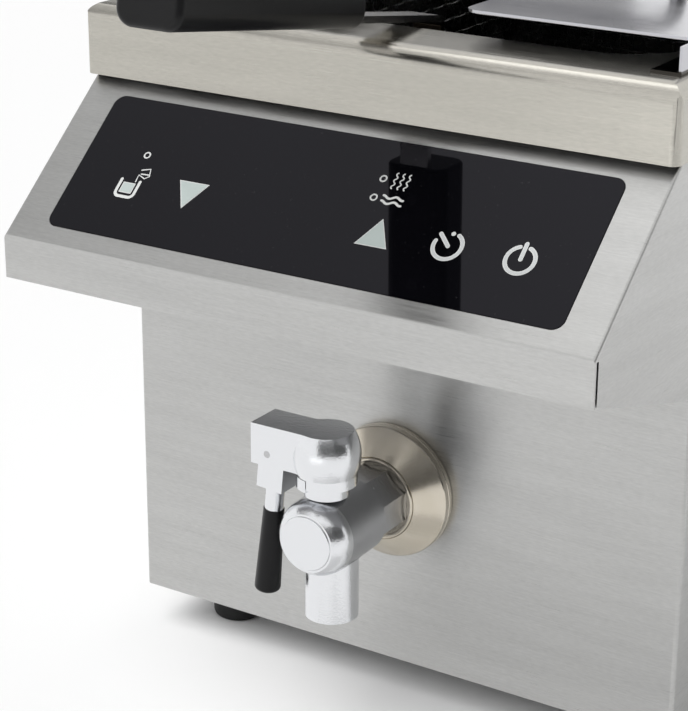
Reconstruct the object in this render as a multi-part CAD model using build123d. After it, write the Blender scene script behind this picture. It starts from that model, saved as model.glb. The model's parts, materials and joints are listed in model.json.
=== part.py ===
from build123d import *
import os
from math import cos, radians, sin, sqrt, tan

os.makedirs("parts", exist_ok=True)

# Millimetres. X runs to the right, Y back from the front wall, Z up from the counter.
# The finished pieces are moved along Y, so that the origin lies under the middle of the whole.

# Sheet metal
sheet = 1.2
fit_gap = 0.3
cut_over = 1.0
running_gap = 0.05

# Casing
body_width = 288.0
body_depth = 392.0
foot_height = 22.0
casing_bend = 2.0
rear_flange = 14.0
tray_wall = 14.0
wall_top_drop = 2.0
panel_inset = 3.0

# Deck and tank
deck_height = 322.5
deck_bend = 8.0
deck_corner = 4.0
apron_reach = 32.3
apron_gap = 6.5
mouth_front = 3.4
mouth_width = 244.0
mouth_length = 320.0
mouth_corner = 34.0
mouth_lip = 10.0
ledge = 10.0
tank_wall = 1.2
tank_depth = 187.0
tank_round = 12.0

# Console
lip_reach = 94.0
lip_height = 19.9
slope_angle = 40.9
underside_angle = 16.1
slope_drop = 0.6
console_bend = 1.6
seam_gap = 0.8
glass_side = 18.4
glass_height = 71.0
glass_corner = 5.0
glass_thickness = 3.2
glass_proud = 0.2
glass_margin = 9.0
carrier_border = 6.0
carrier_ledge = 7.0
carrier_depth = 6.8
board_thickness = 1.6
board_lap = 5.0
display_width = 56.0
display_height = 18.0
display_x = -16.0
display_y = 1.5
lamp_radius = 1.5
lamp_places = ((-94.0, 7.5), (22.3, 16.5), (22.3, 7.2))

# Feet and screws
foot_radius = 13.5
foot_taper = 1.0
foot_round = 3.0
foot_inset_x = 32.0
foot_inset_y = 34.0
foot_pocket_radius = 5.0
foot_pocket_floor = 6.0
screw_radius = 1.9
screw_head_radius = 3.8
screw_head_height = 2.2
screw_length = 8.0
rear_screw_inset = 40.0
side_screw_inset = 60.0

# Vents and the cable gland
vent_length = 56.0
vent_width = 3.6
vent_pitch = 9.0
vent_rows = 8
gland_side = 49.0
gland_z = 62.0
gland_bore = 4.6
gland_thread = 8.0
gland_collar = 12.0
gland_reach = 12.0
gland_tail = 10.0

# Drain and tap, with distances counted forwards from the front wall
drain_drop = 14.8
drain_inset = 24.6
drain_wall = 2.0
tail_radius = 10.5
tail_length = 17.2
tap_bore = 7.0
nut_flats = 30.0
nut_height = 6.0
flange_radius = 31.5
flange_rim = 6.0
flange_height = 15.0
flange_lip = 18.6
flange_sheet = 2.0
flange_bead = 0.6
octagon_flats = 31.6
octagon_length = 34.0
barrel_radius = 17.8
barrel_end = 61.7
tap_reach = 72.7
cap_radius = 12.5
cap_depth = 5.0
cap_crown = 0.5
stem_reach = 55.7
spout_reach = 51.3
spout_radius = 12.0
spout_bore = 9.0
spout_drop = 42.1
spout_relief = 0.3
ball_radius = 10.5
ball_port = 6.0
seat_width = 5.0
stem_radius = 4.0
collar_radius = 10.0
collar_height = 5.2
skirt_radius = 13.5
skirt_height = 4.5
lug_start = 200.0
lug_sweep = 60.0
turn_range = 90.0
stop_slack = 2.0
head_height = 20.0
head_top_radius = 12.0
head_bulge_radius = 15.2
head_bulge_share = 0.4
arm_length = 32.0
arm_width = 18.8
arm_height = 18.8
arm_offset = 2.0
pin_offset = 23.6
pin_drop = 13.3
pin_radius = 1.6
tongue_width = 13.2
tongue_thickness = 11.0
tongue_length = 18.6
lever_lean = 5.5
ferrule_radius = 4.3
ferrule_length = 11.0
grip_top_radius = 4.7
grip_low_radius = 6.0
lever_grip_length = 41.0

# Lid
lid_rise = 11.5
lid_front_lap = 3.9
lid_rear_lap = 12.0
hem_radius = 0.8
notch_width = 62.0
notch_depth = 40.5
notch_corner = 6.0
runner_margin = 3.0
runner_width = 13.0
runner_lead = 17.0
lid_handle_radius = 4.0
lid_handle_span = 110.0
lid_handle_rise = 34.0
lid_handle_bend = 14.0

# Basket and its handle
basket_side_gap = 14.0
basket_end_gap = 15.4
basket_corner = 16.0
basket_top_drop = 8.0
frame_wire = 2.5
net_wire = 1.2
net_pitch = 16.0
bracket_width = 14.0
bracket_thickness = 3.0
bracket_rise = 1.8
bracket_leg = 62.0
bracket_tang = 70.0
bracket_bend = 4.0
handle_tilt = 9.2
grip_start = 76.6
grip_length = 125.0
grip_width = 30.0
grip_height = 24.0
grip_floor = 1.7
grip_corner = 7.0
grip_end_round = 3.0
rivet_radius = 2.5
rivet_spacing = 40.0

# Heating and electronics
mica_thickness = 1.0
mica_radius = 104.0
coil_inner = 30.0
coil_outer = 98.0
coil_height = 6.0
former_height = 5.0
ferrite_length = 64.0
ferrite_width = 16.0
ferrite_height = 6.0
ferrite_count = 6
coil_bracket_depth = 60.0
probe_radius = 7.0
coil_y = 185.0
thermostat_radius = 9.0
thermostat_depth = 12.0
thermostat_flange = 14.0
standoff_height = 10.0
standoff_radius = 4.0
power_board_width = 170.0
power_board_depth = 190.0
power_board_y = 215.0
power_board_x = -30.0
board_inset = 8.0
sink_width = 90.0
sink_depth = 110.0
sink_base = 5.0
sink_height = 36.0
sink_fins = 9
fin_thickness = 2.4
choke_radius = 17.0
choke_height = 22.0
choke_gap = 12.0
fan_size = 80.0
fan_depth = 25.0
fan_side = 79.0
fan_floor = 14.0
fan_rim = 2.5
fan_tip_gap = 1.5
fan_hub = 16.0
fan_blades = 7
fan_blade_pitch = 32.0
fan_blade_thickness = 1.6
fan_strut = 5.0
fan_strut_depth = 4.0
fan_shaft = 2.0
block_width = 50.0
block_depth = 22.0
block_height = 24.0
block_inset = 45.0

# Levels and places that follow from the sizes above
half = body_width / 2
glass_width = body_width - 2 * glass_side
body_top = deck_height - deck_bend - wall_top_drop
slope_top = body_top - slope_drop
slope_rise = tan(radians(slope_angle))
lip_top = slope_top - lip_reach * slope_rise
lip_bottom = lip_top - lip_height
underside_rear = lip_bottom - lip_reach * tan(radians(underside_angle))
apron_bottom = slope_top - apron_reach * slope_rise + apron_gap
deck_half = half + sheet
tray_top = foot_height + sheet
tank_rim = deck_height - mouth_lip
tank_floor = tank_rim - tank_depth
tank_under = tank_floor - tank_wall
tank_width = mouth_width - 2 * ledge
tank_length = mouth_length - 2 * ledge
tank_front = mouth_front + ledge
mouth_middle = mouth_front + mouth_length / 2
drain_y = tank_front + drain_inset
drain_bore = tail_radius + 2 * running_gap
tap_z = tank_under - drain_drop
coil_top = tank_under - mica_thickness
former_top = coil_top - coil_height
ferrite_top = former_top - former_height
coil_bracket_top = ferrite_top - ferrite_height
board_level = tray_top + standoff_height
rear_inner = body_depth - sheet
gland_x = half - gland_side
fan_x = fan_side - half
fan_z = tray_top + fan_floor + fan_size / 2
fan_bore = fan_size / 2 - fan_rim
lid_top = deck_height + lid_rise
lid_half = mouth_width / 2 + runner_margin + runner_width
lid_front = mouth_front - lid_front_lap
lid_rear = mouth_front + mouth_length + lid_rear_lap
basket_half = tank_width / 2 - basket_side_gap
basket_front = tank_front + basket_end_gap
basket_rear = tank_front + tank_length - basket_end_gap
basket_low = tank_floor + fit_gap + 2.8 * frame_wire
basket_top = tank_rim - basket_top_drop
leg_y = basket_front - frame_wire - bracket_thickness


# Simple forms between two ends, each given as a low and a high value
def block(x, y, z):
    return Pos(sum(x) / 2, sum(y) / 2, sum(z) / 2) * Box(x[1] - x[0], y[1] - y[0], z[1] - z[0])


def upright(x, y, z, radius):
    return Pos(x, y, sum(z) / 2) * Cylinder(radius, z[1] - z[0])


def lengthways(x, y, z, radius):
    return Pos(x, sum(y) / 2, z) * Rot(90, 0, 0) * Cylinder(radius, y[1] - y[0])


def crossways(x, y, z, radius):
    return Pos(sum(x) / 2, y, z) * Rot(0, 90, 0) * Cylinder(radius, x[1] - x[0])


def side_prism(points, x):
    # Outline of (y, z) points carried across from one x to the other
    outline = Polyline(*[(0, y, z) for y, z in points], close=True)
    return extrude(make_face(Pos(x[0], 0, 0) * outline), x[1] - x[0], dir=(1, 0, 0))


def rounded_slab(width, length, corner, y, z):
    return Pos(0, y, z[0]) * extrude(RectangleRounded(width, length, corner), z[1] - z[0])


def turned(points):
    # Profile of (radius, distance) points turned about the tap's axis, distance counted forwards
    outline = Polyline(*[(radius, 0, distance) for radius, distance in points], close=True)
    return tap_place * revolve(make_face(outline), Axis.Z)


def pan_screw(length):
    # Screw with its head above the XY plane and its shank below
    head = Pos(0, 0, screw_head_height / 2) * Cylinder(screw_head_radius, screw_head_height)
    head = fillet(head.edges().group_by(Axis.Z)[-1], screw_head_height / 3)
    return head + Pos(0, 0, -length / 2) * Cylinder(screw_radius, length)


tap_place = Pos(0, 0, tap_z) * Rot(90, 0, 0)
slope_place = Plane(
    origin=(0, -lip_reach, lip_top),
    x_dir=(1, 0, 0),
    z_dir=(0, -sin(radians(slope_angle)), cos(radians(slope_angle))),
)
glass_middle = glass_margin + glass_height / 2
rear_screws = [
    (side * (half - sheet - rear_flange / 2), height)
    for side in (-1, 1)
    for height in (foot_height + rear_screw_inset, (foot_height + body_top) / 2, body_top - rear_screw_inset)
]
side_screws = [
    (side, place)
    for side in (-1, 1)
    for place in (side_screw_inset, body_depth - side_screw_inset)
]
side_screw_z = foot_height + tray_wall / 2
feet = {
    f"foot_{end}_{side}": (sx * (half - foot_inset_x), y)
    for end, y in (("front", foot_inset_y), ("rear", body_depth - foot_inset_y))
    for side, sx in (("left", -1), ("right", 1))
}
pieces = {}


# Casing
def casing_wrap():
    z = (foot_height, body_top)
    outer = block((-half, half), (0, rear_inner), z)
    outer = fillet(outer.edges().filter_by(Axis.Z), casing_bend)
    through = (z[0] - cut_over, z[1] + cut_over)
    inner = block((-half + sheet, half - sheet), (sheet, body_depth), through)
    inner = fillet(inner.edges().filter_by(Axis.Z).group_by(Axis.Y)[0], casing_bend - sheet)
    wrap = outer - inner
    for side in (-1, 1):
        edges = sorted((side * (half - sheet), side * (half - sheet - rear_flange)))
        wrap += block(edges, (rear_inner - sheet, rear_inner), z)
    wrap -= lengthways(0, (-cut_over, sheet + cut_over), tap_z, tail_radius + fit_gap)
    window = half - 2 * rear_flange
    wrap -= block((-window, window), (-cut_over, sheet + cut_over), (lip_bottom, lip_top + lip_height))
    for x, height in rear_screws:
        wrap -= lengthways(x, (rear_inner - 2 * sheet, body_depth), height, screw_radius + running_gap)
    for side, place in side_screws:
        edges = sorted((side * (half - 2 * sheet), side * (half + cut_over)))
        wrap -= crossways(edges, place, side_screw_z, screw_radius + running_gap)
    return wrap


def vent_slots(count):
    # Rows of round-ended slots about the origin, in the XY plane
    return [place * SlotOverall(vent_length, vent_width) for place in GridLocations(0, vent_pitch, 1, count)]


def rear_panel():
    edge = half - panel_inset
    panel = block((-edge, edge), (rear_inner, body_depth), (foot_height, body_top))
    slots = extrude(Sketch() + vent_slots(vent_rows), 2 * sheet, both=True)
    panel -= Pos(fan_x, rear_inner, fan_z) * Rot(90, 0, 0) * slots
    panel -= lengthways(gland_x, (rear_inner - cut_over, body_depth + cut_over), gland_z, gland_thread)
    for x, height in rear_screws:
        panel -= lengthways(x, (rear_inner - cut_over, body_depth + cut_over), height,
                            screw_radius + running_gap)
    return panel


def base_tray():
    inner_half = half - sheet
    z = (foot_height, foot_height + tray_wall)
    span = (sheet, rear_inner - sheet)
    tray = block((-inner_half, inner_half), span, z)
    tray = fillet(tray.edges().filter_by(Axis.Z), casing_bend)
    inside = (span[0] + sheet, span[1] - sheet)
    tray -= block((sheet - inner_half, inner_half - sheet), inside, (tray_top, z[1] + cut_over))
    slots = extrude(Sketch() + vent_slots(vent_rows), 2 * sheet, both=True)
    tray -= Pos(power_board_x, power_board_y, foot_height) * slots
    for x, y in feet.values():
        tray -= upright(x, y, (foot_height - cut_over, tray_top + cut_over), screw_radius + running_gap)
    for side, place in side_screws:
        edges = sorted((side * (half - 3 * sheet), side * half))
        tray -= crossways(edges, place, side_screw_z, screw_radius + running_gap)
    return tray


def foot(x, y):
    profile = [(0, 0), (foot_radius - foot_taper, 0), (foot_radius, foot_height), (0, foot_height)]
    outline = make_face(Polyline(*[(radius, 0, z) for radius, z in profile], close=True))
    form = revolve(outline, Axis.Z)
    form = fillet(form.edges().group_by(Axis.Z)[0], foot_round)
    form -= upright(0, 0, (-cut_over, foot_height - foot_pocket_floor), foot_pocket_radius)
    form -= upright(0, 0, (0, foot_height + cut_over), screw_radius + running_gap)
    return Pos(x, y, 0) * form


def foot_screws():
    head_level = foot_height - foot_pocket_floor
    screw = Rot(180, 0, 0) * pan_screw(foot_pocket_floor + screw_length)
    return [Pos(x, y, head_level) * screw for x, y in feet.values()]


def casing_screws():
    rear = [Pos(x, body_depth, z) * Rot(-90, 0, 0) * pan_screw(screw_length) for x, z in rear_screws]
    sides = [
        Pos(side * half, place, side_screw_z) * Rot(0, side * 90, 0) * pan_screw(screw_length)
        for side, place in side_screws
    ]
    return rear + sides


def cable_gland():
    gland = lengthways(0, (rear_inner - gland_tail, body_depth), 0, gland_thread - running_gap)
    gland += lengthways(0, (body_depth, body_depth + gland_reach), 0, gland_collar)
    rim = gland.edges().filter_by(GeomType.CIRCLE).group_by(Axis.Y)[-1]
    gland = chamfer(rim, gland_collar / 4)
    nut = extrude(RegularPolygon(gland_collar, 6), gland_tail / 2)
    gland += Pos(0, rear_inner, 0) * Rot(90, 0, 0) * nut
    gland -= lengthways(0, (rear_inner - gland_tail - cut_over, body_depth + gland_reach + cut_over), 0,
                        gland_bore)
    return Pos(gland_x, 0, gland_z) * gland


pieces["casing_wrap"] = casing_wrap()
pieces["rear_panel"] = rear_panel()
pieces["base_tray"] = base_tray()
for name, place in feet.items():
    pieces[name] = foot(*place)
pieces["foot_screws"] = foot_screws()
pieces["casing_screws"] = casing_screws()
pieces["cable_gland"] = cable_gland()


# Console
def console_fascia():
    outline = [(-lip_reach, lip_bottom), (-lip_reach, lip_top), (0, slope_top), (0, underside_rear)]
    outer = side_prism(outline, (-half, half))
    folds = outer.edges().filter_by(Axis.X).sort_by(Axis.Y)[:2].sort_by(Axis.Z)[-1:]
    folds += [
        edge
        for edge in outer.edges()
        if edge.bounding_box().size.X < fit_gap and edge.center().Z > lip_top
        and edge.bounding_box().size.Y > lip_reach / 2
    ]
    outer = fillet(folds, console_bend)
    thin = sheet / cos(radians(slope_angle))
    inner_top = lip_top - thin + sheet * slope_rise
    deep = underside_rear - cut_over
    hollow = [
        (sheet - lip_reach, deep),
        (sheet - lip_reach, inner_top),
        (cut_over, slope_top - thin + cut_over * slope_rise),
        (cut_over, deep),
    ]
    fascia = outer - side_prism(hollow, (sheet - half, half - sheet))
    seam = (sheet - lip_reach, sheet - lip_reach + seam_gap)
    for side in (-1, 1):
        edges = sorted((side * (half - 2 * sheet), side * (half + cut_over)))
        fascia -= block(edges, seam, (lip_bottom - sheet, lip_top - sheet))
    window = RectangleRounded(glass_width + 2 * fit_gap, glass_height + 2 * fit_gap, glass_corner + fit_gap)
    return fascia - slope_place * Pos(0, glass_middle, 0) * extrude(window, 2 * sheet, both=True)


def console_underside():
    fall = tan(radians(underside_angle))
    thick = sheet / cos(radians(underside_angle))
    front = sheet - lip_reach
    front_z = lip_bottom - sheet * fall
    outline = [(front, front_z), (front, front_z + thick), (0, underside_rear + thick), (0, underside_rear)]
    inner = half - sheet - fit_gap
    return side_prism(outline, (-inner, inner))


def on_slope(width, height, corner, depth, x=0, y=0):
    # Rounded plate on the sloping face, placed from the glass's middle, between two depths
    plate = extrude(RectangleRounded(width, height, corner), depth[1] - depth[0])
    return slope_place * Pos(x, glass_middle + y, depth[0]) * plate


glass_back = glass_proud - glass_thickness
board_front = -sheet - carrier_depth


def control_carrier():
    carrier = on_slope(glass_width + 2 * carrier_border, glass_height + 2 * carrier_border,
                       glass_corner + carrier_border, (board_front, -sheet))
    carrier -= on_slope(glass_width + 2 * fit_gap, glass_height + 2 * fit_gap, glass_corner + fit_gap,
                        (glass_back, 0))
    return carrier - on_slope(glass_width - 2 * carrier_ledge, glass_height - 2 * carrier_ledge,
                              glass_corner, (board_front - cut_over, 0))


def control_board():
    lap = board_lap - carrier_ledge
    return on_slope(glass_width + 2 * lap, glass_height + 2 * lap, glass_corner,
                    (board_front - board_thickness, board_front))


def indicator_lamps():
    lamp = extrude(Circle(lamp_radius), glass_back - board_front)
    return [slope_place * Pos(x, glass_middle + y, board_front) * lamp for x, y in lamp_places]


pieces["console_fascia"] = console_fascia()
pieces["console_underside"] = console_underside()
pieces["control_glass"] = on_slope(glass_width, glass_height, glass_corner, (glass_back, glass_proud))
pieces["control_carrier"] = control_carrier()
pieces["control_board"] = control_board()
pieces["display_module"] = on_slope(display_width, display_height, lamp_radius, (board_front, glass_back),
                                    display_x, display_y)
pieces["indicator_lamps"] = indicator_lamps()


# Deck and tank
def deck_form(inset, bottom, bend, corner):
    # Block with rounded top edges and upright corners, where three prisms cross
    side = deck_half - inset
    y = (inset - apron_reach, body_depth + sheet - inset)
    z = (bottom, deck_height - inset)
    across = block((-side, side), y, z)
    along = fillet(across.edges().filter_by(Axis.X).group_by(Axis.Z)[-1], bend)
    across = fillet(across.edges().filter_by(Axis.Y).group_by(Axis.Z)[-1], bend)
    return along & across & rounded_slab(2 * side, y[1] - y[0], corner, sum(y) / 2, z)


def top_deck():
    deck = deck_form(0, apron_bottom, deck_bend, deck_corner)
    deck -= deck_form(sheet, apron_bottom - cut_over, deck_bend - sheet, deck_corner - sheet)
    deck += rounded_slab(mouth_width + 2 * sheet, mouth_length + 2 * sheet, mouth_corner + sheet,
                         mouth_middle, (tank_rim, deck_height - sheet))
    return deck - rounded_slab(mouth_width, mouth_length, mouth_corner, mouth_middle,
                               (tank_rim - cut_over, deck_height + cut_over))


def tank_form(inset, bottom, top):
    form = rounded_slab(tank_width - 2 * inset, tank_length - 2 * inset, mouth_corner - ledge - inset,
                        mouth_middle, (bottom, top))
    return fillet(form.edges().group_by(Axis.Z)[0], tank_round - inset)


def tank():
    pan = tank_form(-tank_wall, tank_under, tank_rim)
    pan += rounded_slab(mouth_width + 2 * sheet, mouth_length + 2 * sheet, mouth_corner + sheet,
                        mouth_middle, (tank_rim - tank_wall, tank_rim))
    pan -= tank_form(0, tank_floor, tank_rim + cut_over)
    return pan - upright(0, drain_y, (tank_under - cut_over, tank_floor + cut_over), drain_bore)


def drain_pipe():
    outer = drain_bore + drain_wall
    run = (sheet + nut_height + fit_gap, drain_y)
    pipe = lengthways(0, run, tap_z, outer) + upright(0, drain_y, (tap_z - outer, tank_under), outer)
    pipe -= lengthways(0, (run[0] - cut_over, drain_y), tap_z, drain_bore)
    return pipe - upright(0, drain_y, (tap_z - drain_bore, tank_under + cut_over), drain_bore)


pieces["top_deck"] = top_deck()
pieces["tank"] = tank()
pieces["drain_pipe"] = drain_pipe()


# Heating
def mica_sheet():
    disc = upright(0, coil_y, (coil_top, tank_under), mica_radius)
    return disc - upright(0, coil_y, (coil_top - cut_over, tank_under + cut_over), probe_radius + fit_gap)


def coil_winding():
    disc = upright(0, coil_y, (former_top, coil_top), coil_outer)
    return disc - upright(0, coil_y, (former_top - cut_over, coil_top + cut_over), coil_inner)


def coil_former():
    disc = upright(0, coil_y, (ferrite_top, former_top), mica_radius)
    return disc - upright(0, coil_y, (ferrite_top - cut_over, former_top + cut_over), probe_radius + fit_gap)


def ferrite_bars():
    bar = Pos((coil_inner + ferrite_length / 2), 0, (coil_bracket_top + ferrite_top) / 2)
    bar = bar * Box(ferrite_length, ferrite_width, ferrite_height)
    return [Pos(0, coil_y, 0) * Rot(0, 0, turn * 360 / ferrite_count) * bar for turn in range(ferrite_count)]


def coil_bracket():
    inner = half - sheet
    y = (coil_y - coil_bracket_depth / 2, coil_y + coil_bracket_depth / 2)
    bracket = block((-inner, inner), y, (coil_bracket_top - sheet, coil_bracket_top))
    for side in (-1, 1):
        edges = sorted((side * inner, side * (inner - sheet)))
        bracket += block(edges, y, (coil_bracket_top - rear_flange, coil_bracket_top))
    return bracket


def safety_thermostat():
    wall = tank_front + tank_length + tank_wall
    level = (tank_floor + tank_rim) / 2
    body = lengthways(0, (wall, wall + thermostat_depth), level, thermostat_radius)
    plate = thermostat_flange
    return body + block((-plate, plate), (wall, wall + sheet), (level - plate, level + plate))


pieces["mica_sheet"] = mica_sheet()
pieces["coil_winding"] = coil_winding()
pieces["coil_former"] = coil_former()
pieces["ferrite_bars"] = ferrite_bars()
pieces["coil_bracket"] = coil_bracket()
pieces["temperature_probe"] = upright(0, coil_y, (coil_bracket_top, tank_under), probe_radius)
pieces["safety_thermostat"] = safety_thermostat()


# Electronics
board_top = board_level + board_thickness
board_x = (power_board_x - power_board_width / 2, power_board_x + power_board_width / 2)
board_y = (power_board_y - power_board_depth / 2, power_board_y + power_board_depth / 2)
sink_x = (board_x[0] + board_inset, board_x[0] + board_inset + sink_width)
sink_y = (board_y[1] - board_inset - sink_depth, board_y[1] - board_inset)


def board_standoffs():
    places = [(x, y) for x in (board_x[0] + board_inset, board_x[1] - board_inset)
              for y in (board_y[0] + board_inset, board_y[1] - board_inset)]
    return [upright(x, y, (tray_top, board_level), standoff_radius) for x, y in places]


def heat_sink():
    sink = block(sink_x, sink_y, (board_top, board_top + sink_base))
    step = (sink_width - fin_thickness) / (sink_fins - 1)
    for fin in range(sink_fins):
        low = sink_x[0] + fin * step
        sink += block((low, low + fin_thickness), sink_y, (board_top, board_top + sink_height))
    return sink


def board_chokes():
    x = sink_x[1] + choke_gap + choke_radius
    first = board_y[0] + board_inset + choke_radius + choke_gap
    step = 2 * choke_radius + choke_gap
    return [upright(x, first + turn * step, (board_top, board_top + choke_height), choke_radius)
            for turn in range(3)]


def fan_frame():
    # Stands against the rear panel, with its struts and bearing on that side
    square = extrude(RectangleRounded(fan_size, fan_size, fan_hub / 4), fan_depth)
    frame = square - Pos(0, 0, fan_depth / 2) * Cylinder(fan_bore, fan_depth + cut_over)
    strut = block((-fan_size / 2 + cut_over, fan_size / 2 - cut_over), (-fan_strut / 2, fan_strut / 2),
                  (0, fan_strut_depth))
    bearing = Pos(0, 0, fan_strut_depth / 2) * Cylinder(fan_hub, fan_strut_depth)
    for turn in (45, 135):
        frame += Rot(0, 0, turn) * strut
    frame += bearing
    frame -= Pos(0, 0, fan_strut_depth / 2) * Cylinder(fan_shaft + running_gap, 2 * fan_strut_depth)
    return fan_place * frame


def fan_rotor():
    z = (fan_strut_depth + fit_gap, fan_depth - fan_tip_gap)
    rotor = upright(0, 0, z, fan_hub) + upright(0, 0, (fit_gap, z[1]), fan_shaft)
    span = (fan_hub - fan_tip_gap, fan_bore - fan_tip_gap)
    width = (z[1] - z[0]) * cos(radians(fan_blade_pitch))
    blade = Rot(fan_blade_pitch, 0, 0) * Box(span[1] - span[0], fan_blade_thickness, width)
    for turn in range(fan_blades):
        rotor += Rot(0, 0, turn * 360 / fan_blades) * Pos(sum(span) / 2, 0, sum(z) / 2) * blade
    return fan_place * rotor


def terminal_block():
    x = half - block_inset
    y = rear_inner - block_inset
    return block((x - block_width, x), (y, y + block_depth), (tray_top, tray_top + block_height))


fan_place = Pos(fan_x, rear_inner, fan_z) * Rot(90, 0, 0)
pieces["power_board"] = block(board_x, board_y, (board_level, board_top))
pieces["board_standoffs"] = board_standoffs()
pieces["heat_sink"] = heat_sink()
pieces["board_chokes"] = board_chokes()
pieces["fan_frame"] = fan_frame()
pieces["fan_rotor"] = fan_rotor()
pieces["terminal_block"] = terminal_block()


# Drain tap
stem_y = -stem_reach
barrel_top = tap_z + barrel_radius
collar_top = barrel_top + collar_height
spout_top = tap_z - barrel_radius - fit_gap
skirt_low = collar_top + fit_gap
head_low = skirt_low + skirt_height
head_top = head_low + head_height
pin_z = head_top - pin_drop
chamber_radius = ball_radius + fit_gap + cut_over
chamber = (stem_reach - ball_radius - seat_width, tap_reach - cap_depth)


def sector(start, sweep, inner, outer, z):
    # Part of an upright ring about the stem, between two angles
    ring = upright(0, 0, z, outer) - upright(0, 0, (z[0] - cut_over, z[1] + cut_over), inner)
    reach = 4 * outer
    corners = [(0, 0)]
    steps = 4
    for step in range(steps + 1):
        angle = radians(start + sweep * step / steps)
        corners.append((reach * cos(angle), reach * sin(angle)))
    wedge = extrude(make_face(Polyline(*corners, close=True)), z[1] - z[0])
    return ring & Pos(0, 0, z[0]) * wedge


def tap_flange():
    # Cone of sheet with a round bead at its mouth
    thin = flange_sheet
    bead = flange_bead
    bore = octagon_flats / 2 / cos(radians(22.5)) + fit_gap
    return turned([
        (flange_radius - thin, 0),
        (flange_radius, 0),
        (flange_radius, flange_rim),
        (flange_lip, flange_height),
        (flange_lip - bead / 4, flange_height + bead * 3 / 5),
        (flange_lip - bead, flange_height + bead),
        (flange_lip - bead * 7 / 4, flange_height + bead * 3 / 5),
        (bore, flange_height + bead / 4),
        (bore, flange_height - thin),
        (flange_lip, flange_height - 2 * thin),
        (flange_radius - thin, flange_rim - thin),
    ])


def tap_body():
    # Barrel with its domed nose turned about the tap's axis, then the flats, tail, spout and bores
    nose_radius = cap_radius + cut_over
    nose = ThreePointArc(
        (barrel_radius, 0, barrel_end),
        ((barrel_radius + nose_radius) / 2 + cut_over, 0, (barrel_end + tap_reach) / 2 + cut_over / 2),
        (nose_radius, 0, tap_reach - cap_crown),
    )
    rest = Polyline(
        (nose_radius, 0, tap_reach - cap_crown),
        (0, 0, tap_reach - cap_crown),
        (0, 0, octagon_length - cut_over),
        (barrel_radius - 2 * cut_over, 0, octagon_length - cut_over),
        (barrel_radius, 0, octagon_length + cut_over),
        (barrel_radius, 0, barrel_end),
    )
    body = tap_place * revolve(make_face([nose, rest]), Axis.Z)
    corner_radius = octagon_flats / 2 / cos(radians(22.5))
    octagon = extrude(RegularPolygon(corner_radius, 8, rotation=22.5), octagon_length)
    body += tap_place * octagon
    body += lengthways(0, (-cut_over, tail_length), tap_z, tail_radius)
    body += upright(0, -spout_reach, (tap_z - spout_drop, spout_top), spout_radius)
    body += upright(0, -spout_reach, (spout_top, tap_z), spout_radius - spout_relief)
    body -= lengthways(0, (-tap_reach - cut_over, cap_depth - tap_reach), tap_z, cap_radius + running_gap)
    body -= lengthways(0, (-chamber[1] - cut_over, -chamber[0]), tap_z, chamber_radius)
    body -= lengthways(0, (-stem_reach, tail_length + cut_over), tap_z, tap_bore)
    body -= upright(0, -spout_reach, (tap_z - spout_drop - cut_over, tap_z), spout_bore)
    return body - upright(0, stem_y, (tap_z, barrel_top + cut_over), stem_radius + running_gap)


def tap_cap():
    cap = lengthways(0, (-tap_reach, cap_depth - tap_reach), tap_z, cap_radius)
    return fillet(cap.edges().group_by(Axis.Y)[0], cap_crown)


def ball_seat():
    # Ring behind the ball, hollowed to its curve
    ring = lengthways(0, (-chamber[0] - seat_width, -chamber[0]), tap_z, chamber_radius - running_gap)
    ring -= lengthways(0, (-tap_reach, 0), tap_z, tap_bore)
    return ring - Pos(0, stem_y, tap_z) * Sphere(ball_radius + fit_gap)


def valve_ball():
    # The port enters from the side at rest and leaves downwards
    ball = Sphere(ball_radius)
    ball -= upright(0, 0, (-2 * ball_radius, 0), ball_port)
    ball -= crossways((0, 2 * ball_radius), 0, 0, ball_port)
    flat = ball_radius - cut_over
    ball -= block((-ball_radius, ball_radius), (-ball_radius, ball_radius), (flat, 2 * ball_radius))
    return Pos(0, stem_y, tap_z) * ball


def stop_collar():
    collar = upright(0, 0, (barrel_top, collar_top), collar_radius)
    seat = upright(0, 0, (tap_z, barrel_top + cut_over), stem_radius + 2 * cut_over)
    collar += seat - lengthways(0, (-flange_radius, flange_radius), tap_z, barrel_radius)
    lug = sector(lug_start, lug_sweep, stem_radius + 2 * cut_over, skirt_radius,
                 (collar_top - cut_over, head_low - fit_gap))
    collar += lug
    collar -= upright(0, 0, (tap_z, head_low), stem_radius + running_gap)
    return Pos(0, stem_y, 0) * collar


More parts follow.
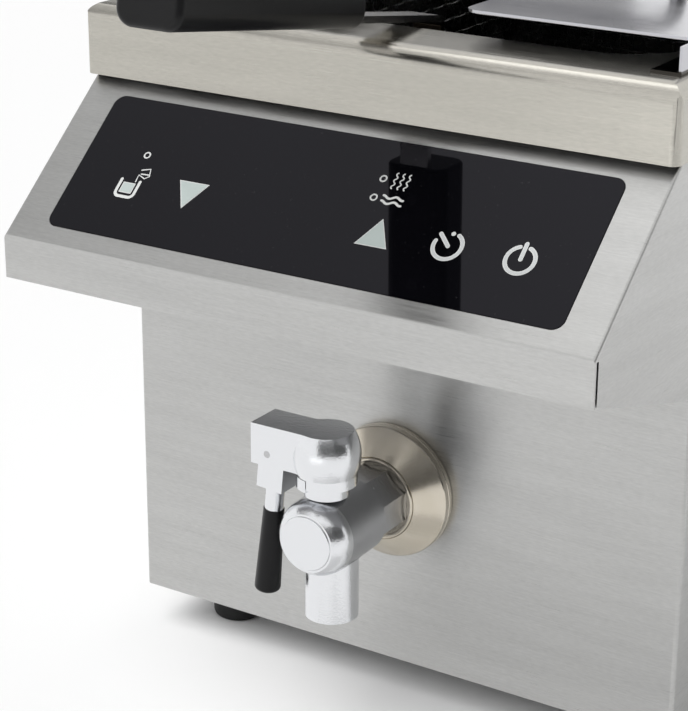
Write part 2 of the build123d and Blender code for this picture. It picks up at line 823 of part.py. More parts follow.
def tap_head():
    # Swelling boss about the stem, with an arm that holds the lever's pin
    swell = ThreePointArc(
        (skirt_radius, 0, head_low),
        (head_bulge_radius, 0, head_low + head_bulge_share * head_height),
        (head_top_radius, 0, head_top),
    )
    rest = Polyline((head_top_radius, 0, head_top), (0, 0, head_top), (0, 0, head_low), (skirt_radius, 0, head_low))
    boss = revolve(make_face([swell, rest]), Axis.Z)
    arm_y = (-arm_width / 2 - arm_offset, arm_width / 2 - arm_offset)
    arm_z = (head_top - arm_height, head_top)
    head = boss + block((-arm_length, 0), arm_y, arm_z)
    joins = [
        edge
        for edge in head.edges()
        if edge.bounding_box().size.Z > arm_height / 2 and -head_bulge_radius < edge.center().X < 0
    ]
    head = fillet(joins, head_top_radius / 3)
    free = turn_range + lug_sweep + 2 * stop_slack
    skirt = sector(lug_start + lug_sweep + stop_slack, 360 - free, stem_radius + fit_gap, skirt_radius,
                   (skirt_low, head_low + cut_over))
    head += skirt
    ceiling = pin_z + tongue_width / 2 + fit_gap
    slot_half = tongue_thickness / 2 + fit_gap
    slot_end = tongue_width / 2 + 2 * fit_gap - pin_offset
    head -= block((-arm_length - cut_over, slot_end), (-slot_half - arm_offset, slot_half - arm_offset),
                  (arm_z[0] - cut_over, ceiling))
    head -= lengthways(-pin_offset, (-2 * arm_width, 2 * arm_width), pin_z, pin_radius + running_gap / 2)
    head -= upright(0, 0, (skirt_low - cut_over, head_low + arm_height / 2), stem_radius + running_gap / 2)
    return Pos(0, stem_y, 0) * head


def valve_stem():
    low = tap_z + ball_radius - cut_over
    return upright(0, stem_y, (low, head_low + arm_height / 2), stem_radius)


def lever_pin():
    ends = (stem_y - arm_offset - arm_width / 2, stem_y - arm_offset + arm_width / 2)
    return lengthways(-pin_offset, ends, pin_z, pin_radius)


lever_place = Pos(-pin_offset, stem_y - arm_offset, pin_z) * Rot(0, lever_lean, 0)


def lever_tongue():
    # Hangs from the pin, with a round top that turns in the arm's slot
    outer = tongue_width / 2
    tongue = lengthways(0, (-tongue_thickness / 2, tongue_thickness / 2), 0, outer)
    tongue += block((-outer, outer), (-tongue_thickness / 2, tongue_thickness / 2), (-tongue_length, 0))
    tongue -= lengthways(0, (-tongue_thickness, tongue_thickness), 0, pin_radius + running_gap)
    return lever_place * tongue


def lever_ferrule():
    return lever_place * upright(0, 0, (-tongue_length - ferrule_length, -tongue_length), ferrule_radius)


def lever_grip():
    top = -tongue_length - ferrule_length
    grip = Pos(0, 0, top - lever_grip_length / 2) * Cone(grip_low_radius, grip_top_radius, lever_grip_length)
    grip = fillet(grip.edges().group_by(Axis.Z)[0], grip_low_radius / 3)
    return lever_place * grip


def wall_nut():
    nut = extrude(RegularPolygon(nut_flats / 2, 6, major_radius=False), nut_height)
    nut -= Pos(0, 0, nut_height / 2) * Cylinder(tail_radius + running_gap, nut_height + cut_over)
    return Pos(0, sheet + nut_height, tap_z) * Rot(90, 0, 0) * nut


pieces["tap_flange"] = tap_flange()
pieces["tap_body"] = tap_body()
pieces["tap_cap"] = tap_cap()
pieces["ball_seat"] = ball_seat()
pieces["valve_ball"] = valve_ball()
pieces["valve_stem"] = valve_stem()
pieces["stop_collar"] = stop_collar()
pieces["wall_nut"] = wall_nut()
pieces["tap_head"] = tap_head()
pieces["lever_pin"] = lever_pin()
pieces["lever_tongue"] = lever_tongue()
pieces["lever_ferrule"] = lever_ferrule()
pieces["lever_grip"] = lever_grip()


# Lid
def lid_sheet():
    # Flat top with a rolled front edge, folded down and in at both sides to form runners
    z = (lid_top - sheet, lid_top)
    lid = block((-lid_half, lid_half), (lid_front, lid_rear), z)
    lid -= block((-notch_width / 2, notch_width / 2), (lid_front - cut_over, lid_front + notch_depth),
                 (z[0] - cut_over, z[1] + cut_over))
    inside = lid.edges().filter_by(Axis.Z)
    inside = [edge for edge in inside if abs(edge.center().X) < lid_half / 2]
    lid = fillet(inside, notch_corner)
    for side in (-1, 1):
        hem = sorted((side * (notch_width / 2 + notch_corner), side * lid_half))
        lid += crossways(hem, lid_front + hem_radius, lid_top - hem_radius, hem_radius)
        wall = sorted((side * lid_half, side * (lid_half - sheet)))
        span = (lid_front - runner_lead, lid_rear)
        lid += block(wall, span, (deck_height, lid_top))
        sole = sorted((side * lid_half, side * (lid_half - runner_width)))
        lid += block(sole, span, (deck_height, deck_height + sheet))
    for side in (-1, 1):
        lid -= upright(side * lid_handle_span / 2, mouth_middle, (z[0] - cut_over, z[1] + cut_over),
                       screw_radius + running_gap)
    return lid


def lid_handle():
    reach = lid_handle_span / 2
    top = lid_top + lid_handle_rise
    path = FilletPolyline((-reach, mouth_middle, lid_top), (-reach, mouth_middle, top),
                          (reach, mouth_middle, top), (reach, mouth_middle, lid_top),
                          radius=lid_handle_bend)
    bar = sweep(Plane(path @ 0, z_dir=path % 0) * Circle(lid_handle_radius), path=path)
    for side in (-1, 1):
        bar -= upright(side * reach, mouth_middle, (lid_top - cut_over, lid_top + screw_length),
                       screw_radius + running_gap)
    return bar


def lid_screws():
    screw = Rot(180, 0, 0) * pan_screw(sheet + screw_length)
    return [Pos(side * lid_handle_span / 2, mouth_middle, lid_top - sheet) * screw for side in (-1, 1)]


pieces["lid_sheet"] = lid_sheet()
pieces["lid_handle"] = lid_handle()
pieces["lid_screws"] = lid_screws()


# Basket
basket_middle = (basket_front + basket_rear) / 2
basket_length = basket_rear - basket_front


def wire_loop(z):
    loop = Pos(0, basket_middle, z) * RectangleRounded(2 * basket_half, basket_length, basket_corner)
    path = loop.face().outer_wire()
    return sweep(Plane(path @ 0, z_dir=path % 0) * Circle(frame_wire), path=path)


def basket_frame():
    frame = wire_loop(basket_top) + wire_loop(basket_low)
    inner = basket_length / 2 - 2 * basket_corner
    for side in (-1, 1):
        for end in (-1, 1):
            y = basket_middle + end * inner
            frame += upright(side * basket_half, y, (basket_low, basket_top), frame_wire)
    foot_z = tank_floor + fit_gap + frame_wire
    for end in (-1, 1):
        frame += crossways((-basket_half, basket_half), basket_middle + end * inner, foot_z, frame_wire)
    return frame


def net(outline):
    # Flat net about the origin: one sheet with a grid of square gaps
    size = outline.bounding_box().size
    across = max(1, int((size.X - net_wire) // net_pitch))
    up = max(1, int((size.Y - net_wire) // net_pitch))
    gap = net_pitch - 2 * net_wire
    narrow = min(gap, size.X - 3 * net_wire)
    gaps = [(place * Rectangle(narrow, gap)).face().outer_wire()
            for place in GridLocations(net_pitch, net_pitch, across, up)]
    return extrude(Face(outline.face().outer_wire(), gaps), net_wire)


def basket_net():
    # Floor, four walls and four corner strips, each standing just inside the frame's wires
    low = basket_low + frame_wire
    tall = basket_top + frame_wire - low - net_wire
    side = basket_half - frame_wire
    end = basket_length / 2 - frame_wire
    corner = basket_corner - frame_wire
    middle = Pos(0, basket_middle, low + net_wire + tall / 2)
    stand = Pos(0, net_wire, 0) * Rot(90, 0, 0)
    long_wall = Pos(0, -side, 0) * stand * net(Rectangle(2 * (end - corner), tall))
    end_wall = Pos(0, -end, 0) * stand * net(Rectangle(2 * (side - corner), tall))
    strip = stand * net(Rectangle(corner * sqrt(2) - 2 * net_wire, tall))
    parts = [Pos(0, basket_middle, low) * net(RectangleRounded(2 * side, 2 * end, corner))]
    parts += [middle * Rot(0, 0, turn) * long_wall for turn in (90, 270)]
    parts += [middle * Rot(0, 0, turn) * end_wall for turn in (0, 180)]
    for sx, sy, turn in ((1, -1, 45), (1, 1, 135), (-1, 1, 225), (-1, -1, 315)):
        place = Pos(sx * (side - corner / 2), sy * (end - corner / 2), 0) * Rot(0, 0, turn)
        parts.append(middle * place * strip)
    return parts


tilt = radians(handle_tilt)
bend_z = deck_height + bracket_rise
leg_middle = leg_y + bracket_thickness / 2
handle_place = Plane(origin=(0, leg_middle, bend_z), x_dir=(1, 0, 0), z_dir=(0, -cos(tilt), sin(tilt)))
# In the handle's own frame Z runs forwards along the bracket and Y points up from its top face


def handle_bracket():
    # Flat strip led up the basket's front, round a bend and forwards into the grip
    run = grip_start + bracket_tang
    corner = bend_z - bracket_thickness / 2 / cos(tilt)
    path = FilletPolyline((0, leg_middle, bend_z - bracket_leg), (0, leg_middle, corner),
                          (0, leg_middle - run * cos(tilt), corner + run * sin(tilt)), radius=bracket_bend)
    section = Plane(path @ 0, x_dir=(1, 0, 0), z_dir=path % 0) * Rectangle(bracket_width, bracket_thickness)
    strip = sweep(section, path=path)
    for place in rivet_places:
        strip -= rivet_hole(place)
    return strip


def rivet_hole(place):
    bore = Rot(90, 0, 0) * Cylinder(rivet_radius + running_gap, 4 * grip_height)
    return handle_place * Pos(0, 0, place) * bore


def basket_grip():
    middle = grip_height / 2 - bracket_thickness - grip_floor
    form = extrude(RectangleRounded(grip_width, grip_height, grip_corner), grip_length)
    form = fillet(form.edges().group_by(Axis.Z)[-1], grip_end_round)
    form = fillet(form.edges().group_by(Axis.Z)[0], grip_end_round / 2)
    grip = handle_place * Pos(0, middle, grip_start) * form
    side = bracket_width / 2 + running_gap
    grip -= handle_place * block((-side, side), (-bracket_thickness - running_gap, running_gap),
                                 (grip_start - cut_over, grip_start + bracket_tang + running_gap))
    for place in rivet_places:
        grip -= rivet_hole(place)
    return grip


def grip_rivets():
    middle = grip_height / 2 - bracket_thickness - grip_floor
    rivet = Pos(0, middle, 0) * Rot(90, 0, 0) * Cylinder(rivet_radius, grip_height)
    return [handle_place * Pos(0, 0, place) * rivet for place in rivet_places]


rivet_first = grip_start + (bracket_tang - rivet_spacing) / 2
rivet_places = (rivet_first, rivet_first + rivet_spacing)
pieces["basket_frame"] = basket_frame()
pieces["basket_net"] = basket_net()
pieces["handle_bracket"] = handle_bracket()
pieces["basket_grip"] = basket_grip()
pieces["grip_rivets"] = grip_rivets()

# The whole is centred between the tip of the basket's grip and the end of the cable gland
tip = pieces["basket_grip"].bounding_box().min.Y
shift = Pos(0, -(tip + body_depth + gland_reach) / 2, 0)
for name, piece in pieces.items():
    solids = piece if isinstance(piece, list) else [piece]
    export_step(Compound(children=[shift * solid for solid in solids]), f"parts/{name}.step")
print("nodes", len(pieces), "front wall at y", round(shift.position.Y, 3))
print("tap axis z", round(tap_z, 3), "stem y", round(shift.position.Y + stem_y, 3), "pin z", round(pin_z, 3))
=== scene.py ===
import bpy
import bmesh
import json
import math
from mathutils import Matrix, Vector


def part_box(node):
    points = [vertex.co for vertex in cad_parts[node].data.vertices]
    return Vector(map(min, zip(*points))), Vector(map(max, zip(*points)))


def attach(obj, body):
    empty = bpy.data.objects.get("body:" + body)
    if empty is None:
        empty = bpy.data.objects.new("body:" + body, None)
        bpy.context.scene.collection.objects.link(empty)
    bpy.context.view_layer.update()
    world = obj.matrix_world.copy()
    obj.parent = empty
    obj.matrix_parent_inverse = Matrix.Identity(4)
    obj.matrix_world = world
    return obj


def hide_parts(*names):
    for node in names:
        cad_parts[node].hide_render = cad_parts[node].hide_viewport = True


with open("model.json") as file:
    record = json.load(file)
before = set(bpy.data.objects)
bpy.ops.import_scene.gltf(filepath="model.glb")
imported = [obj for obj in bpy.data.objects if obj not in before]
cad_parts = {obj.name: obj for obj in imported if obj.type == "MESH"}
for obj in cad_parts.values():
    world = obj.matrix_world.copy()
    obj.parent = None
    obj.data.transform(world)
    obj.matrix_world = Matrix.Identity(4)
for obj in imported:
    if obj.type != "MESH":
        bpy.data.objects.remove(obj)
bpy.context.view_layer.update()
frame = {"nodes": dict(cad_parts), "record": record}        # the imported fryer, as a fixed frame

cadNodes = frame["nodes"]
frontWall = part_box("casing_wrap")[0].y        # the casing's front face
scene = bpy.context.scene
print("stage: frame loaded,", len(cadNodes), "nodes")

near = 0.05        # millimetres within which two measures count as one


def place(x, y, z):        # millimetres, Y counted back from the front wall
    return Vector((x / 1000, frontWall + y / 1000, z / 1000))


def fromPlace(point):        # back to millimetres from the front wall
    return point.x * 1000, (point.y - frontWall) * 1000, point.z * 1000


# node trees

def feed(tree, node, inputs):        # sockets are linked, plain values are set
    for key, value in inputs.items():
        if isinstance(value, bpy.types.NodeSocket):
            tree.links.new(value, node.inputs[key])
        else:
            node.inputs[key].default_value = value


def addNode(tree, kind, inputs=None, **settings):
    made = tree.nodes.new(kind)
    for key, value in settings.items():
        setattr(made, key, value)
    feed(tree, made, inputs or {})
    return made


def maths(tree, operation, a, b=0.0):
    return addNode(tree, "ShaderNodeMath", {0: a, 1: b}, operation=operation).outputs[0]


def plus(tree, a, b):
    return maths(tree, "ADD", a, b)


def minus(tree, a, b):
    return maths(tree, "SUBTRACT", a, b)


def times(tree, a, b):
    return maths(tree, "MULTIPLY", a, b)


def vectorMaths(tree, operation, a, b=(0, 0, 0)):
    return addNode(tree, "ShaderNodeVectorMath", {0: a, 1: b}, operation=operation).outputs


def stretch(tree, vector, by):
    return vectorMaths(tree, "MULTIPLY", vector, by)[0]


def vectorOf(tree, x=0.0, y=0.0, z=0.0):
    return addNode(tree, "ShaderNodeCombineXYZ", {0: x, 1: y, 2: z}).outputs[0]


def partOf(tree, vector, axis):
    return addNode(tree, "ShaderNodeSeparateXYZ", {0: vector}).outputs[axis]


def noise(tree, vector, scale, detail, rough):
    made = addNode(tree, "ShaderNodeTexNoise", {"Vector": vector, "Scale": scale, "Detail": detail,
                                                "Roughness": rough})
    return made.outputs["Fac"]


def remap(tree, value, low, high, toLow=0.0, toHigh=1.0):
    made = addNode(tree, "ShaderNodeMapRange", {"Value": value, "From Min": low, "From Max": high,
                                                "To Min": toLow, "To Max": toHigh})
    return made.outputs["Result"]


def blendColor(tree, factor, first, second):
    return addNode(tree, "ShaderNodeMix", {0: factor, 6: first, 7: second}, data_type="RGBA").outputs[2]


def shaderGroup(name, sizes, outputs):        # a vector and some sizes in, plain values out
    tree = bpy.data.node_groups.new(name, "ShaderNodeTree")
    tree.interface.new_socket("Vector", in_out="INPUT", socket_type="NodeSocketVector")
    for way, labels in (("INPUT", sizes), ("OUTPUT", outputs)):
        for label in labels:
            tree.interface.new_socket(label, in_out=way, socket_type="NodeSocketFloat")
    return tree, tree.nodes.new("NodeGroupInput").outputs, tree.nodes.new("NodeGroupOutput")


def useGroup(tree, group, **inputs):
    return addNode(tree, "ShaderNodeGroup", inputs, node_tree=group).outputs


noiseSpan = (0.3, 0.7)        # most of a noise lies between these
brushing = {"bands": (0.45, 0.07, 0.07), "grain": (11.0, 0.6, 0.6), "cloud": 13.0, "clouded": 0.14,
            "shares": {"Lines": 0.4, "Bands": 0.25, "Grain": 0.35}, "span": (0.34, 0.66)}
handling = {"smear": (0.45, 0.75), "dust": (0.68, 0.76), "dustFiner": 38.0}
casting = {"pit": (0.06, 0.2), "pitCoarser": 0.9, "pitShade": 0.45}
toneCoarser = 0.02        # a moulding's tone against its grain


def makeBrushLines():
    tree, given, out = shaderGroup("brushLines", ["Along", "Across"], ["Lines", "Bands", "Grain", "Cloud"])
    fine = stretch(tree, given["Vector"], vectorOf(tree, given["Along"], given["Across"], given["Across"]))
    bands, grain = (stretch(tree, fine, brushing[key]) for key in ("bands", "grain"))
    feed(tree, out, {"Lines": noise(tree, fine, 1.0, detail=4.0, rough=0.72),
                     "Bands": noise(tree, bands, 1.0, detail=3.0, rough=0.6),
                     "Grain": noise(tree, grain, 1.0, detail=2.0, rough=0.6),
                     "Cloud": noise(tree, given["Vector"], brushing["cloud"], detail=3.0, rough=0.55)})
    return tree


def makeHandMarks():
    tree, given, out = shaderGroup("handMarks", ["Scale"], ["Smear", "Dust"])
    fine = times(tree, given["Scale"], handling["dustFiner"])
    smear = noise(tree, given["Vector"], given["Scale"], detail=5.0, rough=0.6)
    specks = noise(tree, given["Vector"], fine, detail=2.0, rough=0.6)
    feed(tree, out, {"Smear": remap(tree, smear, *handling["smear"]),
                     "Dust": remap(tree, specks, *handling["dust"])})
    return tree


def makeCastSkin():
    tree, given, out = shaderGroup("castSkin", ["Scale"], ["Peel", "Pits"])
    coarse = times(tree, given["Scale"], casting["pitCoarser"])
    pits = addNode(tree, "ShaderNodeTexVoronoi", {"Vector": given["Vector"], "Scale": coarse})
    feed(tree, out, {"Peel": noise(tree, given["Vector"], given["Scale"], detail=2.0, rough=0.55),
                     "Pits": remap(tree, pits.outputs["Distance"], *casting["pit"], 1.0, 0.0)})
    return tree


def makeMouldGrain():
    tree, given, out = shaderGroup("mouldGrain", ["Scale"], ["Grain", "Tone"])
    tone = noise(tree, given["Vector"], times(tree, given["Scale"], toneCoarser), detail=4.0, rough=0.6)
    feed(tree, out, {"Grain": noise(tree, given["Vector"], given["Scale"], detail=3.0, rough=0.6),
                     "Tone": remap(tree, tone, *noiseSpan)})
    return tree


brushLines, handMarks, castSkin, mouldGrain = makeBrushLines(), makeHandMarks(), makeCastSkin(), makeMouldGrain()


# materials

acrossLines = 0.25        # a quarter turn: highlights spread across the lines
dustColor, glassDust = (0.5, 0.49, 0.47, 1.0), (0.4, 0.4, 0.4, 1.0)


def newMaterial(name, **fixed):
    material = bpy.data.materials.new(name)
    material.use_nodes = True
    tree = material.node_tree
    tree.nodes.clear()
    shader = tree.nodes.new("ShaderNodeBsdfPrincipled")
    addNode(tree, "ShaderNodeOutputMaterial", {"Surface": shader.outputs[0]})
    feed(tree, shader, {key.replace("_", " "): value for key, value in fixed.items()})
    return material, tree, shader


def objectVector(tree):
    return addNode(tree, "ShaderNodeTexCoord").outputs["Object"]


def tint(color, by=1.0):
    return tuple(min(1.0, part * by) for part in color) + (1.0,)


def mottled(tree, grain, color, dark, light):
    return blendColor(tree, grain["Tone"], tint(color, dark), tint(color, light))


def varied(tree, value, middle, less, more):        # a noise, brought round a middle value
    return remap(tree, value, *noiseSpan, middle - less, middle + more)


def smeared(tree, rough, marks, by):
    return plus(tree, rough, times(tree, marks["Smear"], by))


def bump(tree, height, strength, depth):
    made = addNode(tree, "ShaderNodeBump", {"Height": height, "Strength": strength, "Distance": depth})
    return made.outputs["Normal"]


def brushedSteel(name, color, cast, contrast, rough, anisotropy, relief, along=22.0, across=1900.0):
    material, tree, shader = newMaterial(name, Metallic=1.0, Anisotropic=anisotropy,
                                         Anisotropic_Rotation=acrossLines)
    vector = addNode(tree, "ShaderNodeUVMap", uv_map="brush").outputs["UV"]
    lines = useGroup(tree, brushLines, Vector=vector, Along=along, Across=across)
    marks = useGroup(tree, handMarks, Vector=vector, Scale=22.0)
    shade = 0.0
    for key, share in brushing["shares"].items():
        shade = plus(tree, shade, times(tree, lines[key], share))
    shade = remap(tree, shade, *brushing["span"])
    streaked = blendColor(tree, shade, tint(color, 1 - contrast), tint(color, 1 + contrast))
    cloud = remap(tree, lines["Cloud"], *noiseSpan, 0.0, brushing["clouded"])
    rough = varied(tree, lines["Lines"], rough, less=0.05, more=0.06)
    tangent = addNode(tree, "ShaderNodeTangent", direction_type="UV_MAP", uv_map="brush")
    feed(tree, shader, {"Base Color": blendColor(tree, cloud, streaked, tint(cast)),
                        "Roughness": smeared(tree, rough, marks, by=0.05),
                        "Normal": bump(tree, lines["Lines"], relief, depth=0.00002),
                        "Tangent": tangent.outputs[0]})
    return material


def paintShadeBelow(material, level, edge, color):        # painted shade: the colour under a level is darkened, standing in for the shade there
    tree = material.node_tree
    shader = next(node for node in tree.nodes if node.type == "BSDF_PRINCIPLED")
    bare = shader.inputs["Base Color"].links[0].from_socket
    paintedShade = remap(tree, partOf(tree, objectVector(tree), "Z"), level - edge, level + edge, 1.0, 0.0)
    feed(tree, shader, {"Base Color": blendColor(tree, paintedShade, bare, tint(color))})


def castMetal(name, color, rough, relief, pits, scale, dullAndShaded=None):
    material, tree, shader = newMaterial(name, Metallic=1.0)
    vector = objectVector(tree)
    skin = useGroup(tree, castSkin, Vector=vector, Scale=scale)
    marks = useGroup(tree, handMarks, Vector=vector, Scale=60.0)
    pitted = blendColor(tree, times(tree, skin["Pits"], pits), tint(color), tint(color, casting["pitShade"]))
    rough = smeared(tree, rough, marks, by=0.06)
    if dullAndShaded:        # a band round an axis along Y, from a shoulder back: rougher as a satin finish, and darker as painted shade on the barrel's shaded side
        fromAxis = vectorMaths(tree, "SUBTRACT", vector, (0.0, 0.0, dullAndShaded["axisZ"]))[0]
        out = vectorMaths(tree, "LENGTH", stretch(tree, fromAxis, (1.0, 0.0, 1.0)))["Value"]
        band = times(tree, remap(tree, out, *dullAndShaded["outside"], 1.0, 0.0),
                     remap(tree, partOf(tree, vector, "Y"), *dullAndShaded["behind"]))
        pitted = blendColor(tree, band, pitted, tint(dullAndShaded["color"]))
        rough = plus(tree, rough, times(tree, band, dullAndShaded["rough"]))
    feed(tree, shader, {"Base Color": pitted, "Roughness": rough,
                        "Normal": bump(tree, skin["Peel"], relief, depth=0.0001)})
    return material


def turnedMetal(name, color, cast, rough, anisotropy, axis):
    material, tree, shader = newMaterial(name, Metallic=1.0, Anisotropic=anisotropy,
                                         Anisotropic_Rotation=acrossLines)
    vector = objectVector(tree)
    skin = useGroup(tree, castSkin, Vector=vector, Scale=2600.0)
    marks = useGroup(tree, handMarks, Vector=vector, Scale=55.0)
    tangent = addNode(tree, "ShaderNodeTangent", direction_type="RADIAL", axis=axis)
    feed(tree, shader, {"Base Color": blendColor(tree, marks["Smear"], tint(color), tint(cast)),
                        "Roughness": varied(tree, skin["Peel"], rough, less=0.04, more=0.04),
                        "Normal": bump(tree, skin["Peel"], strength=0.05, depth=0.00002),
                        "Tangent": tangent.outputs[0]})
    return material


def satinMetal(name, color, rough, relief=0.1, scale=900.0):
    material, tree, shader = newMaterial(name, Metallic=1.0)
    vector = objectVector(tree)
    grain = useGroup(tree, mouldGrain, Vector=vector, Scale=scale)
    marks = useGroup(tree, handMarks, Vector=vector, Scale=26.0)
    rough = varied(tree, grain["Grain"], rough, less=0.05, more=0.05)
    feed(tree, shader, {"Base Color": mottled(tree, grain, color, dark=0.88, light=1.06),
                        "Roughness": smeared(tree, rough, marks, by=0.06),
                        "Normal": bump(tree, grain["Grain"], relief, depth=0.00004)})
    return material


def shadedBelowMetal(name, color, shadeColor, rough, fade):        # bright above, and below a level darkened as painted shade
    material, tree, shader = newMaterial(name, Metallic=1.0)
    vector = objectVector(tree)
    grain = useGroup(tree, mouldGrain, Vector=vector, Scale=900.0)
    bare = remap(tree, partOf(tree, vector, "Z"), *fade)
    bright = mottled(tree, grain, color, dark=0.9, light=1.05)
    feed(tree, shader, {"Base Color": blendColor(tree, bare, tint(shadeColor), bright),
                        "Roughness": varied(tree, grain["Grain"], rough, less=0.05, more=0.05),
                        "Normal": bump(tree, grain["Grain"], strength=0.1, depth=0.00004)})
    return material


def moulding(name, color, rough, relief, scale=900.0, dust=0.08, shine=0.5):
    material, tree, shader = newMaterial(name, Specular_IOR_Level=shine)
    vector = objectVector(tree)
    grain = useGroup(tree, mouldGrain, Vector=vector, Scale=scale)
    marks = useGroup(tree, handMarks, Vector=vector, Scale=40.0)
    bare = mottled(tree, grain, color, dark=0.86, light=1.14)
    rough = varied(tree, grain["Grain"], rough, less=0.06, more=0.06)
    feed(tree, shader, {"Base Color": blendColor(tree, times(tree, marks["Dust"], dust), bare, dustColor),
                        "Roughness": smeared(tree, rough, marks, by=0.05),
                        "Normal": bump(tree, grain["Grain"], relief, depth=0.00005)})
    return material


def printedGlass(name, color, rough, shine, sheen, dust=0.03):
    material, tree, shader = newMaterial(name, IOR=1.5, Specular_IOR_Level=shine, Specular_Tint=tint(sheen))
    marks = useGroup(tree, handMarks, Vector=objectVector(tree), Scale=18.0)
    bare = blendColor(tree, times(tree, marks["Smear"], 0.5), tint(color), tint(color, by=1.25))
    feed(tree, shader, {"Base Color": blendColor(tree, times(tree, marks["Dust"], dust), bare, glassDust),
                        "Roughness": smeared(tree, rough, marks, by=0.04)})
    return material


chrome = {"color": (0.8, 0.81, 0.83), "rough": 0.19, "relief": 0.75, "pits": 0.1, "scale": 1000.0}
finishes = {
    "brushed_steel": brushedSteel("brushedSteel", (0.515, 0.515, 0.507), cast=(0.54, 0.535, 0.515), contrast=0.13,
                                  rough=0.31, anisotropy=0.72, relief=0.18),
    "plain_steel": satinMetal("satinSteel", (0.55, 0.55, 0.55), rough=0.27),
    "screw_steel": satinMetal("screwSteel", (0.55, 0.55, 0.56), rough=0.24, scale=1600.0),
    "tap_chrome": castMetal("tapChrome", **chrome),
    "valve_brass": satinMetal("valveBrass", (0.62, 0.44, 0.18), rough=0.22, relief=0.06, scale=1500.0),
    "seat_white": moulding("seatWhite", (0.78, 0.78, 0.75), rough=0.45, relief=0.05),
    "black_grip": moulding("blackGrip", (0.006, 0.006, 0.0065), rough=0.36, relief=0.12, scale=1500.0, dust=0.01,
                           shine=0.22),
    "black_rubber": moulding("blackRubber", (0.014, 0.014, 0.014), rough=0.6, relief=0.25, scale=1100.0, shine=0.3),
    "black_glass": printedGlass("blackGlass", (0.0016, 0.0016, 0.0024), rough=0.03, shine=0.29,
                                sheen=(0.9, 0.88, 1.0)),
    "black_plastic": moulding("blackPlastic", (0.02, 0.02, 0.021), rough=0.5, relief=0.12, scale=1300.0),
    "circuit_board": moulding("circuitBoard", (0.03, 0.16, 0.06), rough=0.4, relief=0.1, scale=700.0),
    "lamp_plastic": moulding("lampPlastic", (0.2, 0.03, 0.025), rough=0.25, relief=0.02),
    "white_plastic": moulding("whitePlastic", (0.74, 0.74, 0.7), rough=0.45, relief=0.05),
    "mica": moulding("micaSheet", (0.48, 0.42, 0.3), rough=0.5, relief=0.2, scale=500.0),
    "copper": satinMetal("coilCopper", (0.55, 0.24, 0.1), rough=0.3, scale=1200.0),
    "ferrite": moulding("ferrite", (0.03, 0.03, 0.033), rough=0.55, relief=0.2),
    "heat_sink_alloy": satinMetal("sinkAlloy", (0.6, 0.61, 0.62), rough=0.35, relief=0.15),
    "sensor_metal": satinMetal("sensorMetal", (0.6, 0.6, 0.6), rough=0.3),
}
deckSteel = brushedSteel("deckSteel", (0.5, 0.483, 0.437), cast=(0.53, 0.508, 0.445), contrast=0.13, rough=0.21,
                         anisotropy=0.6, relief=0.16)
lidSteel = brushedSteel("lidSteel", (0.55, 0.55, 0.58), cast=(0.57, 0.57, 0.59), contrast=0.03, rough=0.1,
                        anisotropy=0.3, relief=0.03, along=12.0, across=1400.0)
paintShadeBelow(lidSteel, level=0.3242, edge=0.0002, color=(0.07, 0.065, 0.06))        # painted shade on the soles of the runners, standing in for the dark gap they sit in
shadedSteel = brushedSteel("shadedSteel", (0.22, 0.22, 0.225), cast=(0.24, 0.24, 0.24), contrast=0.05, rough=0.34,
                           anisotropy=0.6, relief=0.1, along=12.0, across=1600.0)
flangeNickel = turnedMetal("flangeNickel", (0.6, 0.55, 0.46), cast=(0.68, 0.63, 0.55), rough=0.22, anisotropy=0.88,
                           axis="Y")
# painted shade: the lid's handle is a darkened copy of plain steel, so that the lid mirrors it dark
shadedHandleSteel = satinMetal("shadedHandleSteel", (0.3, 0.3, 0.31), rough=0.3)
# painted shade: below its top strip the bracket is coloured dark, standing in for the shade inside the mouth
bracketSteel = shadedBelowMetal("bracketSteel", (0.62, 0.61, 0.6), shadeColor=(0.085, 0.07, 0.055), rough=0.22,
                            fade=(0.3205, 0.3225))
print("stage: materials made")

slotOf = {row["node"]: row["material_slot"] for row in frame["record"]["subparts"]}
bodyOf = {node: body for body, members in frame["record"]["behaviour"]["bodies"].items() for node in members}
ownFinish = {"handle_bracket": bracketSteel, "grip_rivets": finishes["black_plastic"], "lid_handle": shadedHandleSteel,
             "top_deck": deckSteel, "lid_sheet": lidSteel, "console_underside": shadedSteel}


def finishOf(node):
    return ownFinish.get(node) or finishes[slotOf[node]]


for node, item in cadNodes.items():
    item.data.materials.clear()
    item.data.materials.append(finishOf(node))


# pieces

sideways = 0.8        # from here on, a normal's X means a side
allSmooth = 180.0


def brushMap(mesh):        # U runs along the brushing, across the front and top and back along the sides
    layer = mesh.uv_layers.new(name="brush")
    for polygon in mesh.polygons:
        normal = polygon.normal
        onSide = abs(normal.x) > sideways
        across = Vector((0, 0, 1)) if onSide else Vector((0, -normal.z, normal.y)).normalized()
        for loop in polygon.loop_indices:
            point = mesh.vertices[mesh.loops[loop].vertex_index].co
            layer.data[loop].uv = (point.y if onSide else point.x, point.dot(across))


def linked(name, data):
    item = bpy.data.objects.new(name, data)
    scene.collection.objects.link(item)
    return item


def plainMesh(item):        # the finished mesh of an object with its modifiers, and the object gone
    mesh = bpy.data.meshes.new_from_object(item.evaluated_get(bpy.context.evaluated_depsgraph_get()))
    bpy.data.objects.remove(item)
    return mesh


def shadeSmooth(mesh, sharp=34.0):        # edges that turn by more degrees stay sharp
    for polygon in mesh.polygons:
        polygon.use_smooth = True
    mesh.set_sharp_from_angle(angle=math.radians(sharp))


def evenNormals(mesh):
    rough = linked("rough", mesh)
    rough.modifiers.new("weight", "WEIGHTED_NORMAL").keep_sharp = True
    return plainMesh(rough)


def addPiece(name, mesh, body, stoodFor=()):
    piece = linked(name, mesh)
    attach(piece, body)
    if stoodFor:
        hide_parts(*stoodFor)
    return piece


